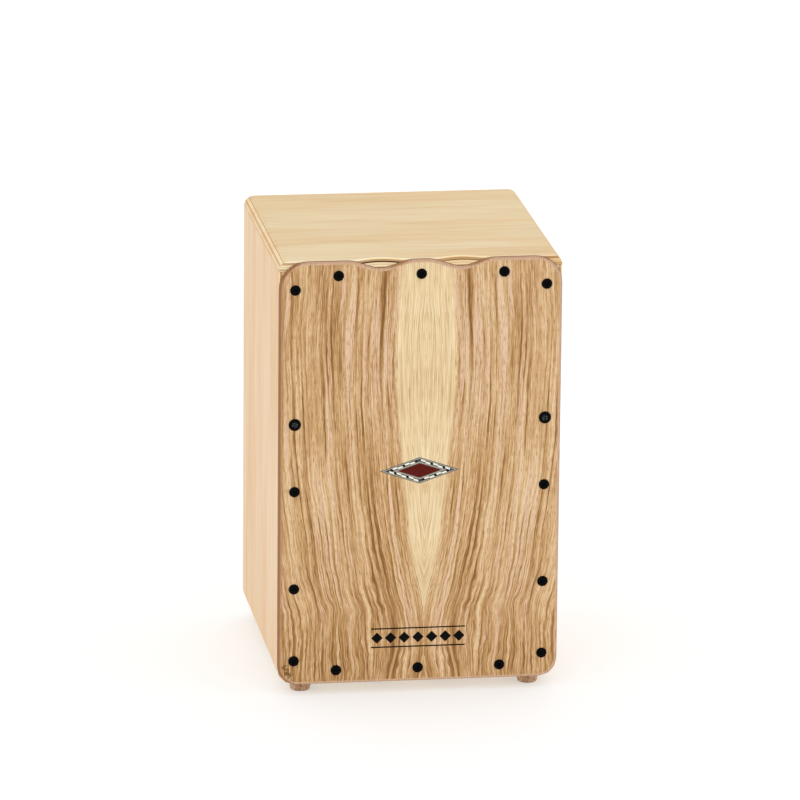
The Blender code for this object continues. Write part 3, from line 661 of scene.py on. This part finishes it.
SCOOP_X = 0.0355
SCOOP_HALF = 0.030
SCOOP_DEPTH = 0.007
SCOOP_RUN = 0.008
EDGE_R = 0.0013             # round of the top panel's front and rear top edges


def scoop_drop(x):
    """How far the finger scoops lower the front top edge at x."""
    away = abs(abs(x) - SCOOP_X)
    if away >= SCOOP_HALF:
        return 0.0
    return SCOOP_DEPTH * 0.5 * (1 + math.cos(math.pi * away / SCOOP_HALF))


def top_section(x):
    """The top panel's outline at x, as (y, z) from the underside of its front edge, clockwise."""
    half = TOP_HIGH.x
    thick = TOP_HIGH.z - TOP_LOW.z
    into_round = max(0.0, abs(x) - (half - thick))
    surface = TOP_HIGH.z - thick + math.sqrt(max(thick ** 2 - into_round ** 2, 0.0))
    surface = max(surface, TOP_LOW.z + 0.00005)
    radius = min(EDGE_R, (surface - TOP_LOW.z) / 2)
    lean = math.atan2(SCOOP_DEPTH, SCOOP_RUN)
    outward = Vector((-math.sin(lean), math.cos(lean)))
    front = TOP_LOW.y
    on_slope = Vector((front, surface - scoop_drop(x)))
    level = outward.dot(on_slope) - radius
    corner = Vector((front + radius, surface - radius))
    if outward.dot(corner) > level:
        lower = Vector((corner.x, (level - outward.x * corner.x) / outward.y))
        upper = Vector(((level - outward.y * corner.y) / outward.x, corner.y))
    else:
        lower = upper = corner
    points = [(front, TOP_LOW.z)]
    turn = 90 + math.degrees(lean)
    points += arc(lower.x, lower.y, radius, 180, turn, 4)
    points += arc(upper.x, upper.y, radius, turn, 90, 4)
    points += arc(TOP_HIGH.y - radius, surface - radius, radius, 90, 0, 4)
    return points + [(TOP_HIGH.y, TOP_LOW.z)]


def top_panel_mesh():
    half = TOP_HIGH.x
    thick = TOP_HIGH.z - TOP_LOW.z
    ends = [half - thick + thick * math.sin(math.radians(6 * i)) for i in range(1, 15)]
    ends.append(half - 0.00001)
    middle_steps = 150
    flat = half - thick
    stations = [-x for x in reversed(ends)]
    stations += [flat * (2 * i / middle_steps - 1) for i in range(middle_steps + 1)] + ends
    bm = bmesh.new()
    rows = [[bm.verts.new((x, y, z)) for y, z in top_section(x)] for x in stations]
    for row, following in zip(rows, rows[1:]):
        join_rings(bm, row, following)
    bm.faces.new(rows[0])
    bm.faces.new(rows[-1])
    return finish_mesh(bm, "top_panel_shaped", sharp=60)


def make_panels():
    x, y, z = 0, 1, 2
    birch = plywood("birch_top_panel", z, TOP_HIGH.z, TOP_LOW.z, x, LEVEL_FACE_PAINTED_SHADE,
                    gaps=((-33.0, 28.0, 0.95), (38.0, 22.0, 0.45)))
    even_shading(piece("top_panel_shaped", top_panel_mesh(), birch,
                       nodes=("top_panel",)))
    panels = (
        ("bottom_panel", z, BOTTOM_LOW.z, BOTTOM_HIGH.z, x, LEVEL_FACE_PAINTED_SHADE, ((z, BOTTOM_HIGH.z),)),
        ("left_panel", x, LEFT_LOW.x, LEFT_HIGH.x, z, SIDE_FACE,
         ((z, LEFT_LOW.z), (z, LEFT_HIGH.z))),
        ("right_panel", x, RIGHT_HIGH.x, RIGHT_LOW.x, z, SIDE_FACE,
         ((z, RIGHT_LOW.z), (z, RIGHT_HIGH.z))),
    )
    for name, axis, outer, inner, grain, face, joints in panels:
        birch = plywood("birch_" + name, axis, outer, inner, grain, face)
        reworked(name, name + "_eased", birch, 0.0004, keep=at_joint(*joints))
    birch = plywood("birch_back_panel", y, BACK_HIGH.y, BACK_LOW.y, z, FACE_CREAM)
    reworked("back_panel", "back_panel_eased", birch)


def make_battens():
    upright = pine("pine_upright", 2)
    level = pine("pine_level", 0)
    for name in frame["nodes"]:
        if "_batten_" in name:
            wood = level if name.endswith(("_top", "_bottom")) else upright
            reworked(name, name + "_planed", wood, 0.0004, angle=60)


# ------------------------ marquetry
INLAY_LOW, INLAY_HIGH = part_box("inlay_outer_line")
INLAY_X = (INLAY_HIGH.x - INLAY_LOW.x) / 2
INLAY_Z = (INLAY_HIGH.z - INLAY_LOW.z) / 2
INLAY_AT = (INLAY_LOW + INLAY_HIGH) / 2
OUTER_DARK = 0.00035
ROPE_AT = 0.0013            # the rope band's outer edge inside the lozenge's
ROPE_W = 0.0023
INNER_AT = ROPE_AT + ROPE_W
INNER_W = 0.0014
ROPE_PERIOD = 0.0114
ROPE_SQUARE = 0.0019
ROPE_DASH = 0.0043
ROPE_STAGGER = 0.00036


def lozenge(inset, half_x=INLAY_X, half_z=INLAY_Z, at=INLAY_AT):
    """Corners of a lozenge whose sides are moved in by inset."""
    apothem = half_x * half_z / math.hypot(half_x, half_z)
    scale = (apothem - inset) / apothem
    return [(at.x + half_x * scale, at.z), (at.x, at.z + half_z * scale),
            (at.x - half_x * scale, at.z), (at.x, at.z - half_z * scale)]


def make_inlay():
    black = dyed_veneer("dyed_black", srgb(6, 6, 7), srgb(18, 18, 18))
    grey = dyed_veneer("dyed_grey", srgb(134, 134, 129), srgb(166, 166, 158))
    dark_grey = dyed_veneer("dyed_dark_grey", srgb(58, 57, 54), srgb(84, 83, 78))
    cream = dyed_veneer("maple_dashes", srgb(238, 231, 206), srgb(250, 246, 228))
    back_y = INLAY_HIGH.y
    hair = 0.00003              # how much one strip stands above the next

    def band(name, start, width, proud, material, nodes=()):
        bm = bmesh.new()
        outline_plate(bm, (lozenge(start), lozenge(start + width)), FACE_Y - proud, back_y)
        piece(name, finish_mesh(bm, name), material, nodes=nodes)

    band("inlay_edge", 0.0, OUTER_DARK, 0.0, dark_grey)
    band("inlay_outer_grey", OUTER_DARK, ROPE_AT - OUTER_DARK, hair, grey,
         ("inlay_outer_line",))
    band("inlay_rope_ground", ROPE_AT, ROPE_W, 0.0, dark_grey, ("inlay_rope_band",))
    band("inlay_inner_grey", INNER_AT, INNER_W, hair, grey, ("inlay_inner_line",))
    bm = bmesh.new()
    outline_plate(bm, (lozenge(INNER_AT + INNER_W),), FACE_Y - hair / 2, back_y)
    piece("inlay_padauk", finish_mesh(bm, "inlay_padauk"), padauk(), nodes=("inlay_centre",))

    squares = bmesh.new()
    dashes = bmesh.new()
    middle = ROPE_AT + ROPE_W / 2
    corners = [Vector((x, z)) for x, z in lozenge(middle)]
    for i, start in enumerate(corners):
        end = corners[(i + 1) % 4]
        along = (end - start).normalized()
        across = Vector((along.y, -along.x))
        length = (end - start).length
        first = ROPE_PERIOD * (0.30 if i % 2 else 0.55)
        chips = (ROPE_PERIOD - ROPE_SQUARE) / 2
        for k in range(-1, int(length / ROPE_PERIOD) + 1):
            at = first + k * ROPE_PERIOD
            if ROPE_SQUARE < at < length - ROPE_SQUARE:
                strip(squares, start + along * at, along, across, ROPE_SQUARE, ROPE_W * 0.86, 0.0)
            for j, shift in enumerate((-ROPE_STAGGER, ROPE_STAGGER)):
                mid = at + ROPE_SQUARE / 2 + chips * (j + 0.5)
                if ROPE_DASH / 2 < mid < length - ROPE_DASH / 2:
                    strip(dashes, start + along * mid + across * shift, along, across, ROPE_DASH,
                          ROPE_W * 0.62, 0.00035)
    piece("inlay_rope_squares", finish_mesh(squares, "inlay_rope_squares"), black)
    piece("inlay_rope_dashes", finish_mesh(dashes, "inlay_rope_dashes"), cream)


def strip(bm, middle, along, across, length, width, slant):
    """Add one chip of marquetry, flush with the plate's face, its ends slanted."""
    loop = []
    for a, b in ((-1, -1), (1, -1), (1, 1), (-1, 1)):
        point = middle + along * (a * length / 2 + b * slant) + across * (b * width / 2)
        loop.append((point.x, point.y))
    outline_plate(bm, (loop,), FACE_Y - 0.00004, FACE_Y + 0.0004)


MOTIF_Z = 0.041             # middle of the printed band above the plate's bottom edge
MOTIF_HALF = 0.0085
MOTIF_REACH = 0.042
MOTIF_PITCH = 0.0122
MOTIF_COUNT = 7
INK = 0.00004


def make_motif():
    """A plain printed band of lozenges between two thin rules."""
    bm = bmesh.new()
    height = BASE_Z + MOTIF_Z
    for i in range(MOTIF_COUNT):
        at = Vector(((i - (MOTIF_COUNT - 1) / 2) * MOTIF_PITCH, 0, height))
        outline_plate(bm, (lozenge(0.0, 0.0052, 0.0052, at),), FACE_Y - INK, FACE_Y + INK)
    for z in (-MOTIF_HALF, MOTIF_HALF):
        loop = [(-MOTIF_REACH, height + z - 0.0006), (MOTIF_REACH, height + z - 0.0006),
                (MOTIF_REACH, height + z + 0.0006), (-MOTIF_REACH, height + z + 0.0006)]
        outline_plate(bm, (loop,), FACE_Y - INK, FACE_Y + INK)
    ink = dyed_veneer("printed_black", srgb(4, 4, 5), srgb(12, 12, 13), roughness=0.55)
    piece("printed_band", finish_mesh(bm, "printed_band"), ink)


# ------------------------ screws
DOME = ((0.0, 1.0), (0.22, 0.995), (0.42, 0.97), (0.60, 0.91), (0.75, 0.80), (0.87, 0.62),
        (0.95, 0.40), (0.99, 0.18), (1.0, 0.05), (0.985, 0.0))     # shares of radius and height
RECESS_WIDE = 0.21          # half width of a recess arm, as a share of its length
RECESS_LEVELS = ((1.2, 1.08, 1.05), (0.30, 0.62, 0.70))     # height, and scales of length and width
WOOD_THREAD = 0.28          # depth of a wood screw's thread, as a share of its shank's radius
POINT = 3                   # length of its point, in the same radii


def cross_tool(turn, head_h, arm):
    """One arm of the tapered cross recess, as a cutter."""
    tool = bmesh.new()
    spin = Matrix.Rotation(turn, 3, "Z")
    wide = arm * RECESS_WIDE
    rows = []
    for level, long_scale, wide_scale in RECESS_LEVELS:
        corners = [Vector((a * arm * long_scale, b * wide * wide_scale, head_h * level))
                   for a, b in ((-1, -1), (1, -1), (1, 1), (-1, 1))]
        rows.append([tool.verts.new(spin @ corner) for corner in corners])
    join_rings(tool, rows[0], rows[1])
    for row in rows:
        tool.faces.new(row)
    return tool


def screw_mesh(name, head_r, head_h, shank_r, length, arm, thread=0.0013):
    """A truss-head wood screw along Z, its head above z = 0, with a tapered cross recess."""
    bm = bmesh.new()
    rings = turned(bm, [(head_r * r, head_h * h) for r, h in DOME], 48)
    bm.faces.new(rings[-1])
    mesh = finish_mesh(bm, name)
    for turn in (0.0, math.pi / 2):
        mesh = carved(mesh, finish_mesh(cross_tool(turn, head_h, arm), name + "_tool"))
    bm = bmesh.new()
    bm.from_mesh(mesh)
    point = shank_r * POINT

    def root(z):
        return shank_r * (1 - WOOD_THREAD) * min(1.0, max(0.02, (z + length) / point))

    def ridge(z):
        return shank_r * WOOD_THREAD * min(1.0, max(0.0, (z + length) / point))

    rows = max(20, int(length / thread * 5))
    helical(bm, -length, head_h * 0.1, root, ridge, thread, 14, rows)
    return finish_mesh(bm, name, sharp=32)


def black_paint(name, tint_share):
    """Black lacquer on steel; the second argument is how much grey shows in the recess: bare metal
    where the lacquer is rubbed off, with its glint painted in as grey.
    """
    g = Graph(name, Roughness=0.36, Specular_IOR_Level=0.03)
    x, y, z = g.place()
    cloud = g.noise(g.stretched((x, y, z), (4, 4, 4)), detail=2)
    color = g.mix(cloud, srgb(4, 4, 5), srgb(12, 12, 14))
    if tint_share:
        # painted highlight: grey in the recess stands in for the glint of bare metal where the
        # lacquer is rubbed off
        radius = g.math("SQRT", g.add(g.times(x, x), g.times(y, y)))
        rub_and_glint = g.noise(g.stretched((x, y, z), (0.8, 0.8, 0.5)), detail=2)
        rub_and_glint = g.times(g.step(rub_and_glint, 0.48, 0.60), g.step(radius, 2.9, 2.0))
        color = g.mix(g.times(rub_and_glint, tint_share), color, srgb(120, 121, 124))
    g.surface(Base_Color=color, Normal=g.bump(cloud, 0.000004))
    return g.material


SEATED = 0.0003             # how deep the front screws' heads sit in the plate
SHANK_R = 0.0015            # of the front screws and the foot screws
HEAVY_R = 0.005             # the two heavier screws' heads are larger than this


def make_front_screws():
    plain = black_paint("black_lacquer", 0.0)
    # the two heavier screws: rubbed lacquer with painted glints in their recesses
    rubbed_and_glinting = black_paint("rubbed_black_lacquer_painted_glint", 0.7)
    names = [name for name in frame["nodes"] if name.startswith("front_screw_")]
    meshes = {}
    for i, name in enumerate(sorted(names)):
        low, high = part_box(name)
        head_r = round((high.x - low.x) / 2, 5)
        head_h = FACE_Y - low.y - SEATED
        if head_r not in meshes:
            length = high.y - FACE_Y + SEATED
            meshes[head_r] = screw_mesh("truss_screw", head_r, head_h, SHANK_R, length, head_r * 0.46)
        spin = Matrix.Rotation(math.radians(41 * i + 12), 4, "Z")
        at = Matrix.Translation(((low.x + high.x) / 2, FACE_Y - SEATED, (low.z + high.z) / 2))
        paint = rubbed_and_glinting if head_r > HEAVY_R else plain
        piece(name.replace("front_screw", "truss_screw"), meshes[head_r], paint,
              nodes=(name,), matrix=at @ ALONG_Y @ spin)


# ------------------------ feet
FOOT_SIDE = ((1.0, 0.80), (0.99, 0.62), (0.955, 0.42), (0.90, 0.22))    # shares of radius and height
FOOT_TIP = 0.82             # radius of its lower end, as a share of the largest
FOOT_BORE_R = 0.0020
FOOT_RECESS_R = 0.0048
FOOT_HEAD_R = 0.0038        # its screw's head
FOOT_HEAD_H = 0.0018
FOOT_GAP = 0.0003           # between the recess's floor and the head


def foot_mesh(radius, top, floor):
    """A moulded foot standing on z = 0, with a bore and, from below, a recess for its screw."""
    tip = radius * FOOT_TIP
    profile = [(FOOT_BORE_R, top)]
    profile += arc(radius * 0.93, top - 0.0006, 0.0006, 90, 10, 4)
    profile += [(radius * r, top * h) for r, h in FOOT_SIDE]
    profile += arc(tip - 0.0006, 0.0013, 0.0013, -14, -90, 6)
    profile += arc(FOOT_RECESS_R + 0.0005, 0.0005, 0.0005, -90, -180, 4)
    profile += [(FOOT_RECESS_R, floor), (FOOT_BORE_R, floor), (FOOT_BORE_R, top)]
    bm = bmesh.new()
    turned(bm, profile, 64)
    bmesh.ops.remove_doubles(bm, verts=bm.verts, dist=0.000001)
    return finish_mesh(bm, "gum_foot")


def make_feet(zinc):
    low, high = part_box("foot_front_left")
    screw_low, screw_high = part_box("foot_screw_front_left")
    floor = screw_low.z + FOOT_HEAD_H + FOOT_GAP
    foot = foot_mesh((high.x - low.x) / 2, high.z, floor)
    rubber = gum_rubber()
    length = screw_high.z - screw_low.z - FOOT_HEAD_H
    screw = screw_mesh("foot_screw_mesh", FOOT_HEAD_R, FOOT_HEAD_H, SHANK_R, length, 0.0018)
    for name in ("front_left", "front_right", "rear_left", "rear_right"):
        at = center("foot_" + name)
        piece("gum_foot_" + name, foot, rubber, nodes=("foot_" + name,),
              matrix=Matrix.Translation((at.x, at.y, 0)))
        turn = Matrix.Rotation(math.pi, 4, "X") @ Matrix.Rotation(at.x * 9, 4, "Z")
        piece("pan_screw_" + name, screw, zinc, nodes=("foot_screw_" + name,),
              matrix=Matrix.Translation((at.x, at.y, floor - FOOT_GAP)) @ turn)


# ------------------------ snare strings and tuner
# node, radius and height of the head, radius and length of the shank
FIXING_SCREWS = (("anchor_screw", 0.0026, 0.0014, 0.0012, 0.0072),
                 ("bracket_screw", 0.0030, 0.0016, 0.0014, 0.0088))


def make_anchor_and_bracket(zinc):
    for name in ("string_anchor", "tuner_bracket"):
        reworked(name, name + "_pressed", zinc, 0.00025, angle=50)
    for node, head_r, head_h, shank_r, length in FIXING_SCREWS:
        mesh = screw_mesh(node + "_mesh", head_r, head_h, shank_r, length, head_r * 0.5, 0.0011)
        for side in ("left", "right"):
            name = "%s_%s" % (node, side)
            low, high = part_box(name)
            at = (low + high) / 2
            if node == "anchor_screw":
                matrix = Matrix.Translation((at.x, high.y - head_h, at.z)) @ ALONG_Y.inverted()
            else:
                matrix = Matrix.Translation((at.x, at.y, high.z - head_h))
            piece(name + "_turned", mesh, zinc, nodes=(name,),
                  matrix=matrix @ Matrix.Rotation(at.x * 20, 4, "Z"))


TUNER_HEAD_H = 0.005
TUNER_SHANK_R = 0.0025
TUNER_PITCH = 0.0008
TUNER_THREAD = 0.00045      # depth of its thread
TUNER_LEAD = 0.0008         # the thread runs out over this length at the tip
KNURL = 0.018               # depth of the head's knurling, as a share of its radius
HEX_R = 0.004 / math.sqrt(3)        # corner radius of the socket for a 4 mm key
HEX_DEPTH = 0.003


def tuner_head(radius):
    """Knurled socket head below z = 0, with its hex socket opening downwards."""
    bm = bmesh.new()
    profile = [(0.0, 0.0)] + arc(radius - 0.0003, -0.0003, 0.0003, 90, 0, 3)
    profile += arc(radius - 0.0005, -TUNER_HEAD_H + 0.0005, 0.0005, 0, -90, 4)
    profile += [(0.0, -TUNER_HEAD_H)]
    for ring in turned(bm, profile, 96):
        for i, vert in enumerate(ring):
            if vert.co.xy.length > radius * 0.97:
                vert.co.xy *= 1 - KNURL * (i % 2)
    head = finish_mesh(bm, "socket_head", sharp=30)
    tool = bmesh.new()
    corners = [math.radians(60 * i) for i in range(6)]
    rows = [[tool.verts.new((HEX_R * math.cos(a), HEX_R * math.sin(a), z)) for a in corners]
            for z in (-TUNER_HEAD_H * 1.2, -TUNER_HEAD_H + HEX_DEPTH)]
    join_rings(tool, rows[0], rows[1])
    for row in rows:
        tool.faces.new(row)
    return carved(head, finish_mesh(tool, "hex_tool"))


def tuner_mesh(head_r, length):
    """A tuning screw: its head below z = 0 and its threaded shank above."""
    bm = bmesh.new()
    bm.from_mesh(tuner_head(head_r))

    def root(z):
        chamfer = max(0.0, (z - length + TUNER_LEAD) / TUNER_LEAD)
        return TUNER_SHANK_R - TUNER_THREAD - 0.0003 * chamfer

    def ridge(z):
        return TUNER_THREAD * min(1.0, max(0.0, (length - z) / TUNER_LEAD))

    rows = int(length / TUNER_PITCH * 6)
    helical(bm, -0.0002, length, root, ridge, TUNER_PITCH, 24, rows)
    return finish_mesh(bm, "threaded_tuner", sharp=50)


def pin_mesh():
    low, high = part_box("guide_pin_left")
    radius = (high.x - low.x) / 2
    length = high.z - low.z
    profile = [(0.0, length)] + arc(radius - 0.0004, length - 0.0004, 0.0004, 90, 0, 4)
    bm = bmesh.new()
    turned(bm, profile + [(radius, 0.0), (0.0, 0.0)], 40)
    return finish_mesh(bm, "ground_pin")


def make_tuners(zinc):
    oxide = metal("black_oxide", srgb(38, 38, 40), srgb(58, 58, 60), 0.38, metallic=0.85)
    alloy = metal("brushed_alloy", srgb(186, 188, 190), srgb(208, 210, 212), 0.34, (12, 0.5, 0.5))
    low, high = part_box("tuning_screw_left")
    tuner = tuner_mesh((high.x - low.x) / 2, high.z - low.z - TUNER_HEAD_H)
    pin = pin_mesh()
    for side in ("left", "right"):
        at = center("tuning_screw_" + side)
        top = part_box("tuning_screw_" + side)[0].z + TUNER_HEAD_H
        piece("threaded_tuner_" + side, tuner, oxide, side + "_tuning_screw",
              ("tuning_screw_" + side,), Matrix.Translation((at.x, at.y, top)))
        at = center("guide_pin_" + side)
        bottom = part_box("guide_pin_" + side)[0].z
        piece("ground_pin_" + side, pin, zinc, nodes=("guide_pin_" + side,),
              matrix=Matrix.Translation((at.x, at.y, bottom)))
        reworked("string_slider_" + side, "brushed_slider_" + side, alloy, 0.0003,
                 angle=50, body=side + "_slider")


WIRE_R = 0.0005
WIRE_TWIST = 0.013          # length of the locked twist beside each ball
WIRE_LAY = 0.0016           # pitch of the twist
TWIST_RIDGE = 0.00022
# a string's ball, from its bore to its waist: radius and height, in ball radii
BALL_HALF = ((0.62, 1.0), (0.95, 0.8), (1.0, 0.55), (0.72, 0.28), (0.68, 0.0))


def string_steel():
    g = Graph("string_steel", Metallic=1.0)
    cloud = g.noise(g.stretched(g.place(), (3, 3, 12)), detail=2)
    g.surface(Base_Color=g.mix(cloud, srgb(196, 194, 186), srgb(222, 220, 212)),
              Roughness=g.math("MULTIPLY_ADD", cloud, 0.12, 0.20), Normal=g.bump(cloud, 0.000004))
    return g.material


def wire_mesh(name, z0, z1, overlap):
    """A string between its balls, which are at z0 and z1; it reaches into each by the overlap."""
    def ridge(z):
        from_end = min(z - z0, z1 - z)
        return TWIST_RIDGE * min(1.0, max(0.0, (WIRE_TWIST - from_end) / 0.001))

    bm = bmesh.new()
    helical(bm, z0 - overlap, z1 + overlap, lambda z: WIRE_R * 0.55, ridge, WIRE_LAY, 12, 420)
    return finish_mesh(bm, name, sharp=60)


def ball_mesh(name, radius):
    half = [(WIRE_R * 1.1, radius * 0.98)] + [(radius * r, radius * h) for r, h in BALL_HALF]
    whole = half + [(r, -h) for r, h in reversed(half[:-1])]
    bm = bmesh.new()
    turned(bm, whole + [whole[0]], 32)
    bmesh.ops.remove_doubles(bm, verts=bm.verts, dist=0.0000001)
    return finish_mesh(bm, name)


def make_strings():
    steel = string_steel()
    brass = metal("ball_brass", srgb(186, 152, 84), srgb(206, 172, 102), 0.3)
    for side, body, numbers in (("left", "left_slider", (1, 2)), ("right", "right_slider", (3, 4))):
        for number in numbers:
            node = "snare_string_%d" % number
            low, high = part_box(node)
            ball_r = (high.x - low.x) / 2
            at = (low + high) / 2
            z0 = low.z + 2 * ball_r
            z1 = high.z - 2 * ball_r
            name = "wire_%d" % number
            wire = piece(name, wire_mesh(name, z0, z1, ball_r * 0.6), steel, None,
                         (node,), Matrix.Translation((at.x, at.y, 0)))
            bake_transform(wire)
            for end, ball_body, z in (("lower", body, z0 - ball_r), ("upper", "root", z1 + ball_r)):
                name = "ball_%s_%d" % (end, number)
                piece(name, ball_mesh(name, ball_r), brass, ball_body,
                      matrix=Matrix.Translation((at.x, at.y, z)))


# ------------------------ stage, light and camera
AZIMUTH = math.radians(-8.48)
ELEVATION = math.radians(15.41)
ROLL = math.radians(0.55)
DISTANCE = 6.0
AIM = Vector((0.0005, 0.0, 0.234))
LENS = 301.9                # mm, on a 36 mm sensor


def make_stage():
    mesh = bpy.data.meshes.new("floor")
    half = 40.0
    mesh.from_pydata([(-half, -half, 0), (half, -half, 0), (half, half, 0), (-half, half, 0)], [],
                     [(0, 1, 2, 3)])
    white = (1.0, 1.0, 1.0, 1.0)
    g = Graph("pale_floor", Roughness=0.9, Specular_IOR_Level=0.05, Emission_Color=white,
              Emission_Strength=0.42)
    g.surface(Base_Color=(0.61, 0.61, 0.61, 1.0))
    mesh.materials.append(g.material)
    floor = bpy.data.objects.new("floor", mesh)
    bpy.context.scene.collection.objects.link(floor)
    world = bpy.data.worlds.new("studio")
    world.use_nodes = True
    world.node_tree.nodes["Background"].inputs[0].default_value = (1.0, 1.0, 1.0, 1.0)
    world.node_tree.nodes["Background"].inputs[1].default_value = 1.0
    bpy.context.scene.world = world
    bpy.context.scene.view_settings.view_transform = "Standard"


def area_light(name, place, aim, size, power):
    data = bpy.data.lights.new(name, "AREA")
    data.size = size
    data.energy = power
    light = bpy.data.objects.new(name, data)
    light.location = place
    light.rotation_euler = (Vector(aim) - Vector(place)).to_track_quat("-Z", "Y").to_euler()
    bpy.context.scene.collection.objects.link(light)


def make_lights():
    area_light("key", (-1.6, -2.6, 2.0), (0, 0, 0.2), 1.6, 8)
    area_light("fill", (2.6, -1.8, 1.4), (0, 0, 0.2), 1.8, 3)
    area_light("rim", (0.6, 2.6, 1.8), (0, 0, 0.2), 1.8, 5)


def make_camera():
    data = bpy.data.cameras.new("camera")
    data.lens = LENS
    data.sensor_width = 36.0
    data.clip_end = 100.0
    camera = bpy.data.objects.new("camera", data)
    turn = (Matrix.Rotation(AZIMUTH, 4, "Z") @ Matrix.Rotation(math.pi / 2 - ELEVATION, 4, "X")
            @ Matrix.Rotation(ROLL, 4, "Z"))
    camera.matrix_world = Matrix.Translation(AIM) @ turn @ Matrix.Translation((0, 0, DISTANCE))
    bpy.context.scene.collection.objects.link(camera)
    bpy.context.scene.camera = camera


make_camera()
make_stage()
make_lights()
make_panels()
make_battens()
reworked("front_plate", "figured_front", figured_ash(), sharp=50)
make_inlay()
make_motif()
make_front_screws()
ZINC = metal("zinc_plate", srgb(186, 186, 180), srgb(212, 212, 206), 0.34)
make_feet(ZINC)
make_anchor_and_bracket(ZINC)
make_tuners(ZINC)
make_strings()
